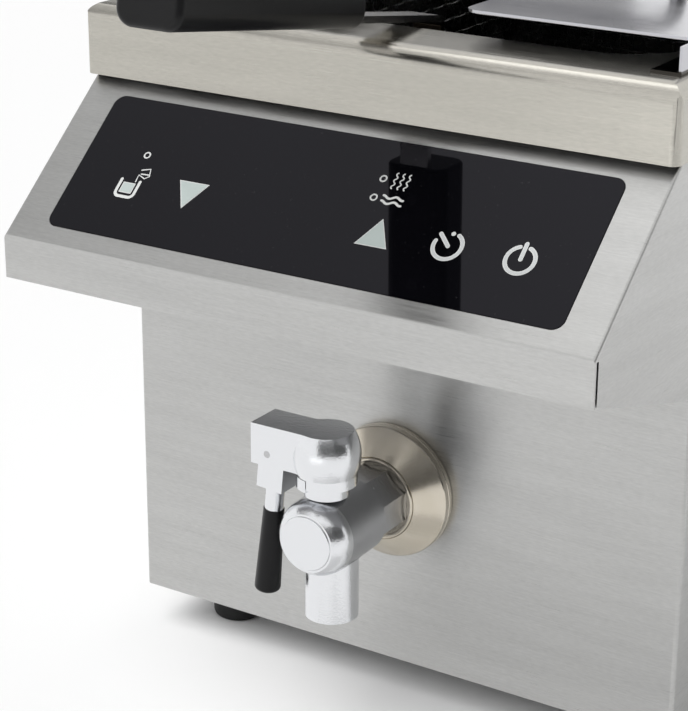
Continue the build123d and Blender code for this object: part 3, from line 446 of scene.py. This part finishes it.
def mergedForm(node, weld=2e-6, flat=0.3):        # a joined copy of loose triangles, flat faces in one piece
    source = cadNodes[node].data
    mesh = bpy.data.meshes.new(node + "Copy")
    mesh.from_pydata([v.co for v in source.vertices], [], [list(p.vertices) for p in source.polygons])
    form = bmesh.new()
    form.from_mesh(mesh)
    bpy.data.meshes.remove(mesh)
    bmesh.ops.remove_doubles(form, verts=form.verts, dist=weld)
    bmesh.ops.dissolve_limit(form, angle_limit=math.radians(flat), verts=form.verts, edges=form.edges)
    return form


def meshOf(form, name):
    mesh = bpy.data.meshes.new(name)
    form.to_mesh(mesh)
    form.free()
    return mesh


def bridge(form, one, two):        # faces between two rings, where a pole is the same point all round
    faces = []
    for i in range(len(one)):
        j = (i + 1) % len(one)
        faces.append(form.faces.new(tuple(dict.fromkeys((one[i], one[j], two[j], two[i])))))
    return faces


def skinFrom(node, name, brushed=False, reshape=None, crisp=None):
    form = mergedForm(node)
    if reshape:
        reshape(form)
    mesh = meshOf(form, name)
    shadeSmooth(mesh)
    if crisp:
        for edge in mesh.edges:
            if all(crisp(mesh.vertices[i].co) for i in edge.vertices):
                edge.use_edge_sharp = True
    if brushed:
        brushMap(mesh)
    mesh.materials.append(finishOf(node))
    return addPiece(name, evenNormals(mesh), bodyOf[node], [node])


seam = {"y": -92.0, "side": 141.0, "wider": 0.9}


def openSeam(form):        # the open joint at the ends of the lip, a little wider than the solids leave it
    for vert in form.verts:
        x, y, z = fromPlace(vert.co)
        if abs(x) > seam["side"] and abs(y - seam["y"]) < near:
            vert.co = place(x, y + seam["wider"], z)


sheetPieces = {"casing_wrap": "casingSkin", "rear_panel": "rearSkin", "console_fascia": "fasciaSkin",
               "console_underside": "undersideSkin", "top_deck": "deckSkin", "lid_sheet": "lidSkin"}
for node, name in sheetPieces.items():
    skinFrom(node, name, brushed=True, reshape=openSeam if node == "console_fascia" else None)
print("stage: sheet metal")

tap = {"axisZ": 109.5, "barrel": 17.8, "shoulder": -61.7, "spoutY": -51.3, "spout": 12.0, "relief": 11.7,
       "weld": 2e-5}
# painted shade: the barrel's band is darker than the chrome, standing in for the barrel's shaded side; its added
# roughness is a satin finish
satinAndShade = {"axisZ": tap["axisZ"] / 1000, "outside": [(tap["barrel"] + past) / 1000 for past in (0.2, 0.6)],
         "behind": [place(0, tap["shoulder"] + past, 0).y for past in (0.0, 0.2)],
         "color": (0.53, 0.535, 0.55), "rough": 0.04}
ownFinish["tap_body"] = castMetal("barrelChrome", **chrome, dullAndShaded=satinAndShade)


def onShoulder(point):
    x, y, z = fromPlace(point)
    return abs(y - tap["shoulder"]) < near and abs(math.hypot(x, z - tap["axisZ"]) - tap["barrel"]) < 2 * near


def fillRelief(form):        # the spout meets the barrel at its full width
    for vert in form.verts:
        x, y, z = fromPlace(vert.co)
        out = math.hypot(x, y - tap["spoutY"])
        if abs(out - tap["relief"]) < near and z < tap["axisZ"]:
            share = tap["spout"] / out
            vert.co = place(x * share, tap["spoutY"] + (y - tap["spoutY"]) * share, z)
    bmesh.ops.remove_doubles(form, verts=form.verts, dist=tap["weld"])


flange = {"radius": 31.5, "rim": 6.0, "height": 15.0, "bore": 17.4, "sheet": 2.0, "edge": 0.5, "turns": 128,
          "groove": 2.6, "grooveWide": 0.6, "grooveDeep": 0.35, "knee": [(0.12, -0.15), (0.5, 0.3)],
          "bead": 1.05, "beadSunk": 0.35, "beadGap": 0.3, "lip": 1.5, "lipTop": 0.9, "lipFoot": 2.4}


def flangeProfile():        # radius and distance from the wall, round the section of the turned cone
    radius, rim, tall, sheet, edge = (flange[key] for key in ("radius", "rim", "height", "sheet", "edge"))
    groove, wide, bead, gap = (flange[key] for key in ("groove", "grooveWide", "bead", "beadGap"))
    middle, lip = flange["bore"] + bead, flange["bore"] - flange["lip"]
    section = [(radius - sheet, 0), (radius - edge, 0), (radius, edge), (radius, groove)]
    section += [(radius - flange["grooveDeep"], groove + wide / 2), (radius, groove + wide), (radius, rim - edge)]
    section += [(radius - inward, rim + up) for inward, up in flange["knee"]]
    fall = (tall - rim) / (middle + bead - radius)
    section.append((middle + bead + gap, tall - gap * abs(fall)))
    for degrees in range(-10, 191, 25):
        angle = math.radians(degrees)
        section.append((middle + bead * math.cos(angle), tall - flange["beadSunk"] + bead * math.sin(angle)))
    section += [(lip, tall - flange["lipTop"]), (lip, tall - flange["lipFoot"])]
    return section + [(middle + bead, tall - 2 * sheet), (radius - sheet, rim - sheet)]


def makeFlange():
    form = bmesh.new()
    angles = [2 * math.pi * i / flange["turns"] for i in range(flange["turns"])]
    rings = [[form.verts.new(place(radius * math.sin(angle), -out, tap["axisZ"] + radius * math.cos(angle)))
              for angle in angles] for radius, out in flangeProfile()]
    for one, two in zip(rings, rings[1:] + rings[:1]):
        bridge(form, one, two)
    bmesh.ops.recalc_face_normals(form, faces=form.faces)
    mesh = meshOf(form, "tapFlange")
    shadeSmooth(mesh)
    mesh.materials.append(flangeNickel)
    addPiece("tapFlange", evenNormals(mesh), bodyOf["tap_flange"], ["tap_flange"])


makeFlange()
skinFrom("tap_body", "tapBody", reshape=fillRelief, crisp=onShoulder)
for node, name in (("tap_cap", "tapCap"), ("tap_head", "tapHead"), ("lever_tongue", "leverTongue")):
    skinFrom(node, name)
print("stage: tap")


# panel marks, in millimetres across from the panel's middle and up the slope from the lip

panel = {"lipY": -94.0, "lipZ": 230.48, "slope": 40.9, "proud": 0.2, "thick": 0.05}


def onPanel(x, up, lift):
    slope = math.radians(panel["slope"])
    lift += panel["proud"]
    return place(x, panel["lipY"] + up * math.cos(slope) - lift * math.sin(slope),
                 panel["lipZ"] + up * math.sin(slope) + lift * math.cos(slope))


def turned(x, y, angle):
    return x * math.cos(angle) - y * math.sin(angle), x * math.sin(angle) + y * math.cos(angle)


def layerLifts(layer):
    return layer * panel["thick"], (layer + 1) * panel["thick"]


def addPlate(form, corners, finish, layer=0):        # a thin closed plate with this outline, anticlockwise
    bottom, top = ([form.verts.new(onPanel(x, up, lift)) for x, up in corners] for lift in layerLifts(layer))
    faces = [form.faces.new(top), form.faces.new(bottom[::-1])] + bridge(form, bottom, top)
    for face in faces:
        face.material_index = finish


def halfTurn(middle, start, steps=6):        # the points of a round end between its two corners
    arm = start - middle
    return [middle + Vector(turned(arm.x, arm.y, math.pi * step / steps)) for step in range(1, steps)]


def addStroke(form, path, width, finish=0, layer=0, closed=False):        # a ribbon along a path, round ends
    points = [Vector(point) for point in path]
    count = len(points)
    left, right = [], []
    for i, point in enumerate(points):
        before = points[i - 1] if closed or i else point
        after = points[(i + 1) % count] if closed or i < count - 1 else point
        along = (after - before).normalized()
        side = Vector((-along.y, along.x)) * width / 2
        left.append(point + side)
        right.append(point - side)
    if not closed:
        outline = right + halfTurn(points[-1], right[-1]) + left[::-1] + halfTurn(points[0], left[0])
        addPlate(form, outline, finish, layer)
        return
    low, high = layerLifts(layer)
    rings = [[form.verts.new(onPanel(p.x, p.y, lift)) for p in edge]
             for edge, lift in ((right, low), (left, low), (left, high), (right, high))]
    for one, two in zip(rings, rings[1:] + rings[:1]):
        for face in bridge(form, one, two):
            face.material_index = finish


def arcPath(x, up, radius, start, end, steps=40):        # degrees, anticlockwise from the right
    angles = [math.radians(start + (end - start) * step / steps) for step in range(steps + 1)]
    return [(x + radius * math.cos(angle), up + radius * math.sin(angle)) for angle in angles]


def ringPath(x, up, radius, steps=24):
    return arcPath(x, up, radius, 0, 360, steps)[:-1]


def shrink(corners, by):        # the same outline, its sides moved in
    inner = []
    for i, corner in enumerate(corners):
        here = Vector(corner)
        back = (Vector(corners[i - 1]) - here).normalized()
        ahead = (Vector(corners[(i + 1) % len(corners)]) - here).normalized()
        inward = (back + ahead).normalized()
        inner.append(tuple(here + inward * by / abs(inward.cross(ahead))))
    return inner


white, pale, grey = range(3)
inks = [("markWhite", (0.6, 0.61, 0.6), 0.4), ("markPale", (0.42, 0.475, 0.46), 0.42),
        ("markGrey", (0.5, 0.515, 0.52), 0.4)]
symbols = {"line": 1.85, "inlay": 1.0, "fine": 0.62, "border": 0.4, "lampRing": 1.78, "lampLine": 0.72,
           "lamps": [(-94.0, 51.9), (22.4, 61.2), (22.2, 51.7)],
           "plates": [[(-71.3, 42.9), (-63.6, 29.3), (-55.7, 43.0)], [(23.6, 28.9), (38.9, 29.0), (31.2, 42.6)],
                      [(-98.4, 31.5), (-91.9, 31.5), (-91.9, 36.9), (-98.4, 36.9)]],
           "dials": [{"at": (64.2, 35.9), "radius": 6.25, "arc": (166, 422), "hand": [(0.2, -0.1), (-5.1, 5.0)]},
                     {"at": (96.8, 35.8), "radius": 6.25, "arc": (112, 429), "hand": [(0, 0.3), (-0.1, 7.7)]}],
           "dot": (64.4, 41.8, 1.0), "dotSides": 12,
           "heat": {"across": (28.0, 31.0, 34.0), "foot": 57.2, "step": 0.25, "swing": 0.55, "rate": 0.507,
                    "points": 32},
           "fat": {"up": (50.3, 52.9), "left": 26.2, "step": 0.4, "swing": 0.62, "rate": 0.41, "points": 25,
                   "line": 1.05},
           "pot": [(-100.0, 38.1), (-100.0, 32.0), *arcPath(-97.6, 31.9, 2.4, 190, 260, 5),
                   *arcPath(-92.6, 31.9, 2.4, 280, 350, 5), (-90.2, 32.0), (-90.2, 38.1)], "potLine": 1.45,
           "jug": [[(-92.6, 44.1), (-88.4, 45.3), (-87.2, 41.6), (-89.1, 40.1), (-92.8, 41.5), (-92.6, 37.9)],
                   [(-91.8, 42.1), (-87.9, 42.3)]]}


def inlaidStroke(form, path):        # white edges with a greyer line between them
    addStroke(form, path, symbols["line"], white)
    addStroke(form, path, symbols["inlay"], grey, 1)


def makeMarks():
    form = bmesh.new()
    fine, heat, fat, line = (symbols[key] for key in ("fine", "heat", "fat", "lampLine"))
    for x, up in symbols["lamps"]:
        addStroke(form, ringPath(x, up, symbols["lampRing"] - line / 2), line, closed=True)
    for corners in symbols["plates"]:
        addPlate(form, corners, white)
        addPlate(form, shrink(corners, symbols["border"]), pale, 1)
    for dial in symbols["dials"]:
        x, up = dial["at"]
        inlaidStroke(form, arcPath(x, up, dial["radius"], *dial["arc"]))
        inlaidStroke(form, [(x + right, up + rise) for right, rise in dial["hand"]])
    addPlate(form, ringPath(*symbols["dot"], symbols["dotSides"]), white)
    for x in heat["across"]:        # rising heat
        addStroke(form, [(x - heat["swing"] * math.sin(t * heat["rate"]), heat["foot"] + t * heat["step"])
                         for t in range(heat["points"])], fine)
    for up in fat["up"]:        # melted fat
        addStroke(form, [(fat["left"] + t * fat["step"], up + fat["swing"] * math.cos(t * fat["rate"]))
                         for t in range(fat["points"])], fat["line"])
    addStroke(form, symbols["pot"], symbols["potLine"])
    for path in symbols["jug"]:
        addStroke(form, path, fine)
    mesh = meshOf(form, "panelMarks")
    for ink, color, rough in inks:
        mesh.materials.append(moulding(ink, color, rough, relief=0.03, dust=0.0))
    addPiece("panelMarks", mesh, bodyOf["control_glass"])


makeMarks()
print("stage: panel marks")


# what repeats or follows a path

def growTree(name, kinds):
    tree = bpy.data.node_groups.new(name, "GeometryNodeTree")
    tree.interface.new_socket("Geometry", in_out="OUTPUT", socket_type="NodeSocketGeometry")
    labels = {label: tree.interface.new_socket(label, in_out="INPUT", socket_type="NodeSocket" + kind).identifier
              for label, kind in kinds.items()}
    return tree, labels, tree.nodes.new("NodeGroupInput").outputs, tree.nodes.new("NodeGroupOutput")


def closeTree(tree, geometry, material, out):
    whole = addNode(tree, "GeometryNodeRealizeInstances", {"Geometry": geometry})
    dressed = addNode(tree, "GeometryNodeSetMaterial", {"Geometry": whole.outputs[0], "Material": material})
    feed(tree, out, {"Geometry": dressed.outputs[0]})


def grow(name, tree, labels, values, mesh=None):
    holder = linked(name + "Grow", mesh or bpy.data.meshes.new(name + "Seed"))
    modifier = holder.modifiers.new("grow", "NODES")
    modifier.node_group = tree
    for label, value in values.items():
        modifier[labels[label]] = value
    return plainMesh(holder)


def joined(tree, parts):
    made = tree.nodes.new("GeometryNodeJoinGeometry")
    for part in parts:
        tree.links.new(part, made.inputs[0])
    return made.outputs[0]


def wireOf(tree, curve, radius, sides):
    profile = addNode(tree, "GeometryNodeCurvePrimitiveCircle", {"Resolution": sides, "Radius": radius})
    made = addNode(tree, "GeometryNodeCurveToMesh", {"Curve": curve, "Profile Curve": profile.outputs[0],
                                                     "Fill Caps": True})
    return made.outputs[0]


netting = {"side": 94.55, "end": 131.15, "corner": 12.5, "low": 136.35, "high": 306.4, "wire": 0.5, "crimp": 0.45,
           "middle": 163.4, "pitch": 8.0, "wireSides": 5, "cornerSteps": 6}
netSizes = ("side", "end", "corner", "low", "high", "wire", "crimp")
netCounts = ("levels", "posts", "rows", "columns")


def makeNetTree():
    tree, labels, given, out = growTree("wovenNet", {**dict.fromkeys(netSizes + ("middle",), "Float"),
                                                     **dict.fromkeys(netCounts, "Int"), "material": "Material"})
    side, end, corner, low, high, wire, crimp = (given[key] for key in netSizes)
    levels, posts, rows, columns = (given[key] for key in netCounts)
    middle = given["middle"]
    index = tree.nodes.new("GeometryNodeInputIndex").outputs[0]
    odd = maths(tree, "MODULO", index, 2.0)
    even = minus(tree, 1.0, odd)
    pair = maths(tree, "MODULO", maths(tree, "FLOOR", times(tree, index, 0.5)), 2.0)
    swing = times(tree, minus(tree, times(tree, pair, 2.0), 1.0), crimp)
    back = times(tree, swing, -1.0)

    def doubled(value):
        return times(tree, value, 2.0)

    def crossing(count, length):        # where wire number index meets the wires that run the other way
        step = maths(tree, "DIVIDE", length, minus(tree, doubled(count), 1.0))
        return times(tree, plus(tree, doubled(index), 0.5), step)

    def crimped(curve, count, offset):
        spaced = addNode(tree, "GeometryNodeResampleCurve", {"Curve": curve, "Count": doubled(count)})
        bent = addNode(tree, "GeometryNodeSetPosition", {"Geometry": spaced.outputs[0], "Offset": offset})
        return wireOf(tree, bent.outputs[0], wire, netting["wireSides"])

    def straight(length, axis):
        half = times(tree, length, 0.5)
        start, stop = (vectorOf(tree, **{axis: times(tree, half, sign)}) for sign in (-1.0, 1.0))
        return addNode(tree, "GeometryNodeCurvePrimitiveLine", {"Start": start, "End": stop}).outputs[0]

    def setOut(count, position, wires, **shaped):        # wires in a row, the two weaves in turn
        points = addNode(tree, "GeometryNodePoints", {"Count": count, "Position": position}).outputs[0]
        return [addNode(tree, "GeometryNodeInstanceOnPoints", {"Points": points, "Instance": form,
                                                               "Selection": chosen, **shaped}).outputs[0]
                for form, chosen in zip(wires, (even, odd))]

    def outwards(direction):
        return vectorMaths(tree, "CROSS_PRODUCT", direction, (0, 0, 1))[0]

    def rounded(position, reach, otherReach):        # how much of its length a floor wire keeps near a corner
        past = minus(tree, maths(tree, "ABSOLUTE", position), minus(tree, reach, corner))
        past = maths(tree, "MINIMUM", maths(tree, "MAXIMUM", past, 0.0), corner)
        square = minus(tree, times(tree, corner, corner), times(tree, past, past))
        half = plus(tree, minus(tree, otherReach, corner), maths(tree, "SQRT", square))
        return maths(tree, "DIVIDE", half, otherReach)

    width, depth, height = doubled(side), doubled(end), minus(tree, high, low)
    outline = addNode(tree, "GeometryNodeCurvePrimitiveQuadrilateral", {"Width": width, "Height": depth})
    outline = addNode(tree, "GeometryNodeFilletCurve", {"Curve": outline.outputs[0], "Radius": corner,
                                                        "Count": netting["cornerSteps"]}, mode="POLY").outputs[0]
    tangent = tree.nodes.new("GeometryNodeInputTangent").outputs[0]
    loops = [crimped(outline, posts, stretch(tree, outwards(tangent), turn)) for turn in (swing, back)]
    level = plus(tree, low, crossing(levels, height))
    parts = setOut(levels, vectorOf(tree, 0.0, middle, level), loops)

    upright = straight(height, "z")
    uprights = [crimped(upright, levels, vectorOf(tree, turn)) for turn in (back, swing)]
    share = maths(tree, "DIVIDE", plus(tree, doubled(index), 0.5), doubled(posts))
    spot = addNode(tree, "GeometryNodeSampleCurve", {"Curves": outline, "Factor": share}, mode="FACTOR").outputs
    halfway = vectorOf(tree, 0.0, middle, times(tree, plus(tree, low, high), 0.5))
    lifted = vectorMaths(tree, "ADD", spot["Position"], halfway)[0]
    outward = addNode(tree, "FunctionNodeAlignRotationToVector", {"Vector": outwards(spot["Tangent"])}, axis="X",
                      pivot_axis="Z")
    parts += setOut(posts, lifted, uprights, Rotation=outward.outputs[0])

    acrossY = minus(tree, crossing(rows, depth), end)
    lines = [crimped(straight(width, "x"), columns, vectorOf(tree, z=turn)) for turn in (swing, back)]
    keep = vectorOf(tree, rounded(acrossY, end, side), 1.0, 1.0)
    parts += setOut(rows, vectorOf(tree, 0.0, plus(tree, middle, acrossY), low), lines, Scale=keep)
    acrossX = minus(tree, crossing(columns, width), side)
    lines = [crimped(straight(depth, "y"), rows, vectorOf(tree, z=turn)) for turn in (back, swing)]
    keep = vectorOf(tree, 1.0, rounded(acrossX, side, end), 1.0)
    parts += setOut(columns, vectorOf(tree, acrossX, middle, low), lines, Scale=keep)
    closeTree(tree, joined(tree, parts), given["material"], out)
    return tree, labels


def makeNet():
    tree, labels = makeNetTree()
    side, end, corner, pitch = (netting[key] for key in ("side", "end", "corner", "pitch"))
    girth = 4 * (side + end - 2 * corner) + 2 * math.pi * corner
    values = {key: netting[key] / 1000 for key in netSizes}
    values.update({"middle": place(0, netting["middle"], 0).y, "posts": 2 * round(girth / pitch / 2),
                   "levels": round((netting["high"] - netting["low"]) / pitch), "rows": round(2 * end / pitch),
                   "columns": round(2 * side / pitch), "material": finishes["plain_steel"]})
    mesh = grow("basketNet", tree, labels, values)
    shadeSmooth(mesh, allSmooth)
    addPiece("basketNet", mesh, "basket", ["basket_net"])
    print("stage: basket net,", len(mesh.polygons), "faces")


makeNet()

# sizes in millimetres, shares of the head's radius and height, of the recess's wing and slot
screw = {"headRadius": 3.8, "headHeight": 2.2, "shank": 1.9, "point": 0.4, "edge": 0.25, "turns": 32, "sharp": 32.0,
         "wall": 0.42, "bulge": 0.5, "shoulder": 0.28, "flat": (0.4, 0.98), "domeSteps": 6,
         "wing": 2.05, "slot": 0.45, "depth": 1.5, "clear": 0.5, "footShare": (0.45, 0.7), "topShare": (1.15, 1.1)}
sides = (-1, 1)
screwSets = {        # for each node its piece, the length below the head, and each screw's seat and direction
    "casing_screws": ("casingScrews", 8.0, [((side * 135.8, 392, z), (0, 1, 0)) for side in sides
                                            for z in (62, 167.25, 272.5)]
                      + [((side * 144, y, 29), (side, 0, 0)) for side in sides for y in (60, 332)]),
    "foot_screws": ("footScrews", 14.0, [((side * 112, y, 16), (0, 0, -1)) for side in sides for y in (34, 358)]),
    "lid_screws": ("lidScrews", 9.2, [((side * 55, 163.4, 332.8), (0, 0, -1)) for side in sides])}


def lathe(name, profile, turns):        # profile of (radius, height) from the lower pole to the upper
    form = bmesh.new()
    angles = [2 * math.pi * i / turns for i in range(turns)]
    rings = []
    for radius, height in profile:
        if radius:
            rings.append([form.verts.new((radius * math.cos(angle), radius * math.sin(angle), height))
                          for angle in angles])
        else:
            rings.append([form.verts.new((0, 0, height))] * turns)
    for low, high in zip(rings, rings[1:]):
        bridge(form, low, high)
    return meshOf(form, name)


def crossCutter(name, turn):        # one bar of the cross recess, narrower at its foot
    form = bmesh.new()
    rings = []
    for above, (longShare, wideShare) in ((-screw["depth"], screw["footShare"]), (screw["clear"], screw["topShare"])):
        long, wide = screw["wing"] * longShare, screw["slot"] * wideShare
        corners = [(-long, -wide), (long, -wide), (long, wide), (-long, wide)]
        rings.append([form.verts.new((*turned(x, y, turn), screw["headHeight"] + above)) for x, y in corners])
    form.faces.new(rings[0][::-1])
    form.faces.new(rings[1])
    bridge(form, *rings)
    return linked(name, meshOf(form, name))


def panScrew(length):
    head, tall, shank, wall = (screw[key] for key in ("headRadius", "headHeight", "shank", "wall"))
    point, edge, shoulder = screw["point"], screw["edge"], screw["shoulder"]
    profile = [(0, -length), (shank - point, -length), (shank, -length + point), (shank, 0)]
    profile += [(head - edge, 0), (head, edge), (head, tall * wall)]
    for step in range(1, screw["domeSteps"] + 1):
        angle = math.pi / 2 * step / screw["domeSteps"]
        profile.append((head * (1 - shoulder) + head * shoulder * math.cos(angle),
                        tall * (wall + screw["bulge"] * math.sin(angle))))
    profile += [(head * screw["flat"][0], tall * screw["flat"][1]), (0, tall)]
    body = linked("screwBody", lathe("screwBody", profile, screw["turns"]))
    cutters = [crossCutter("slotOne", 0.0), crossCutter("slotTwo", math.pi / 2)]
    for cutter in cutters:
        cut = body.modifiers.new("cut", "BOOLEAN")
        cut.object = cutter
        cut.operation = "DIFFERENCE"
        cut.solver = "EXACT"
    mesh = plainMesh(body)
    for cutter in cutters:
        bpy.data.objects.remove(cutter)
    mesh.transform(Matrix.Scale(0.001, 4))        # to metres
    return linked("screwTemplate", mesh)


def makeScrewTree():
    tree, labels, given, out = growTree("setScrews", {"seats": "Geometry", "screw": "Object", "material": "Material"})
    outward = addNode(tree, "GeometryNodeInputNamedAttribute", {"Name": "facing"}, data_type="FLOAT_VECTOR")
    upright = addNode(tree, "FunctionNodeAlignRotationToVector", {"Vector": outward.outputs[0]}, axis="Z")
    template = addNode(tree, "GeometryNodeObjectInfo", {"Object": given["screw"], "As Instance": True})
    placed = addNode(tree, "GeometryNodeInstanceOnPoints", {"Points": given["seats"],
                                                            "Instance": template.outputs["Geometry"],
                                                            "Rotation": upright.outputs[0]})
    closeTree(tree, placed.outputs[0], given["material"], out)
    return tree, labels


def makeScrews():
    tree, labels = makeScrewTree()
    for node, (name, length, seats) in screwSets.items():
        template = panScrew(length)
        mesh = bpy.data.meshes.new(name + "Seats")
        mesh.from_pydata([place(*seat) for seat, way in seats], [], [])
        attribute = mesh.attributes.new("facing", "FLOAT_VECTOR", "POINT")
        for i, (seat, way) in enumerate(seats):
            attribute.data[i].vector = way
        shape = grow(name, tree, labels, {"screw": template, "material": finishes["screw_steel"]}, mesh)
        bpy.data.objects.remove(template)
        shadeSmooth(shape, screw["sharp"])
        addPiece(name, shape, bodyOf[node], [node])


makeScrews()
print("stage: screws")

coil = {"inner": 30.0, "outer": 98.0, "low": 117.3, "wire": 2.85, "turns": 11.0, "middle": 185.0, "perTurn": 48,
        "wireSides": 8}


def makeCoil():
    tree, labels, given, out = growTree("coilTurns", {**dict.fromkeys(("inner", "outer", "wire", "turns"), "Float"),
                                                      "material": "Material"})
    spiral = addNode(tree, "GeometryNodeCurveSpiral", {"Resolution": coil["perTurn"], "Rotations": given["turns"],
                                                       "Start Radius": given["inner"],
                                                       "End Radius": given["outer"], "Height": 0.0})
    closeTree(tree, wireOf(tree, spiral.outputs[0], given["wire"], coil["wireSides"]), given["material"], out)
    wire = coil["wire"] / 1000
    mesh = grow("coilWinding", tree, labels, {"inner": coil["inner"] / 1000 + wire, "wire": wire,
                                              "outer": coil["outer"] / 1000 - wire, "turns": coil["turns"],
                                              "material": finishes["copper"]})
    mesh.transform(Matrix.Translation(place(0, coil["middle"], coil["low"] + coil["wire"])))
    shadeSmooth(mesh, allSmooth)
    addPiece("coilWinding", mesh, bodyOf["coil_winding"], ["coil_winding"])


makeCoil()
print("stage: coil")


# camera, its focal length and frame in pixels, its place in millimetres, its turns in degrees

view = {"focal": 2174.31, "frame": 711, "sensor": 36.0, "place": (472.54, -781.41, 513.76),
        "yaw": 32.59, "pitch": 20.429, "roll": 0.3}


def makeCamera():
    yaw, pitch, roll = (math.radians(view[key]) for key in ("yaw", "pitch", "roll"))
    ahead = Vector((-math.sin(yaw) * math.cos(pitch), math.cos(yaw) * math.cos(pitch), -math.sin(pitch)))
    right = Vector((math.cos(yaw), math.sin(yaw), 0))
    up = right.cross(ahead)
    leanRight = math.cos(roll) * right + math.sin(roll) * up
    leanUp = math.cos(roll) * up - math.sin(roll) * right
    camera = linked("camera", bpy.data.cameras.new("camera"))
    camera.data.sensor_width = view["sensor"]
    camera.data.lens = view["focal"] / view["frame"] * view["sensor"]
    turn = Matrix((leanRight, leanUp, -ahead)).transposed().to_4x4()
    camera.matrix_world = Matrix.Translation(place(*view["place"])) @ turn
    scene.camera = camera


makeCamera()


# studio, in metres

# each card: where it stands, where it faces, width, height, and its brightness at the foot and at the top
studio = {"floor": 16.0, "floorTones": (0.92, 0.93), "fill": 0.2,
          "key": {"from": (-0.42, -0.85, 1.3), "spread": 54.0, "power": 3.35},
          "cards": {"roomBehindCamera": ((1.35, -2.0, 1.0), (0, 0, 0.2), 3.0, 1.7, 0.03, 0.3),
                    "rightSide": ((2.4, -0.6, 1.0), (0, 0, 0.3), 2.6, 2.0, 0.06, 0.1),
                    "backLeft": ((-2.25, 1.95, 0.85), (0, 0, 0.3), 2.75, 1.6, 0.4, 0.4),
                    "highLeft": ((-1.51, -0.63, 2.07), (0, -0.17, 0.26), 2.2, 1.5, 0.3, 1.0),
                    "topLight": ((-0.72, 0.1, 2.3), (-0.72, 0.1, 0), 0.75, 0.9, 2.2, 2.2),
                    "floorGlow": ((0.02, -1.22, 0.004), (0.02, -1.22, -1), 0.72, 0.7, 1.65, 1.65),
                    # floorNear: a darker patch on the floor before the body, which only reflections see, is a painted
                    # shadow
                    "floorNear": ((0.04, -0.23, 0.004), (0.04, -0.23, -1), 0.18, 0.14, 0.9, 0.6)}}


def board(name, width, height, material):
    mesh = bpy.data.meshes.new(name)
    x, y = width / 2, height / 2
    mesh.from_pydata([(-x, -y, 0), (x, -y, 0), (x, y, 0), (-x, y, 0)], [], [(0, 1, 2, 3)])
    mesh.materials.append(material)
    return linked(name, mesh)


def makeFloor():
    material, tree, shader = newMaterial("paleFloor", Roughness=0.8, Specular_IOR_Level=0.1)
    cloud = noise(tree, objectVector(tree), 3.0, detail=2.0, rough=0.5)
    low, high = (tint((tone,) * 3) for tone in studio["floorTones"])
    feed(tree, shader, {"Base Color": blendColor(tree, cloud, low, high)})
    floor = board("floor", studio["floor"], studio["floor"], material)


def makeWorld():        # white to look at, and only a faint fill as a light
    world = bpy.data.worlds.new("studio")
    scene.world = world
    world.use_nodes = True
    tree = world.node_tree
    tree.nodes.clear()
    path = tree.nodes.new("ShaderNodeLightPath").outputs
    seen = maths(tree, "MAXIMUM", path["Is Camera Ray"], path["Is Glossy Ray"])
    seen = maths(tree, "MAXIMUM", seen, path["Is Transmission Ray"])
    strength = remap(tree, seen, 0.0, 1.0, studio["fill"], 1.0)
    back = addNode(tree, "ShaderNodeBackground", {"Color": (1, 1, 1, 1), "Strength": strength})
    addNode(tree, "ShaderNodeOutputWorld", {"Surface": back.outputs[0]})


def facing(spot, aim):
    return (Vector(aim) - Vector(spot)).to_track_quat("-Z", "Y").to_euler()


def makeKey():        # one broad soft light from the front, so that the floor ahead stays clear
    key = studio["key"]
    lamp = bpy.data.lights.new("key", "SUN")
    lamp.angle = math.radians(key["spread"])
    lamp.energy = key["power"]
    item = linked("key", lamp)
    item.rotation_euler = facing(key["from"], (0, 0, 0))
    item.visible_glossy = False


def makeCards():        # plain boards round the set that only reflections see
    for name, (spot, aim, width, height, foot, top) in studio["cards"].items():
        material, tree, shader = newMaterial(name, Base_Color=(0, 0, 0, 1), Roughness=1.0, Specular_IOR_Level=0.0,
                                             Emission_Strength=1.0)
        across = partOf(tree, objectVector(tree), "Y")
        feed(tree, shader, {"Emission Color": remap(tree, across, -height / 2, height / 2, foot, top)})
        card = board(name, width, height, material)
        card.location = spot
        card.rotation_euler = facing(spot, aim)
        card.visible_camera = card.visible_diffuse = card.visible_shadow = card.visible_transmission = False


makeFloor()
makeWorld()
makeKey()
makeCards()
scene.view_settings.view_transform = "Standard"
print("stage: studio")
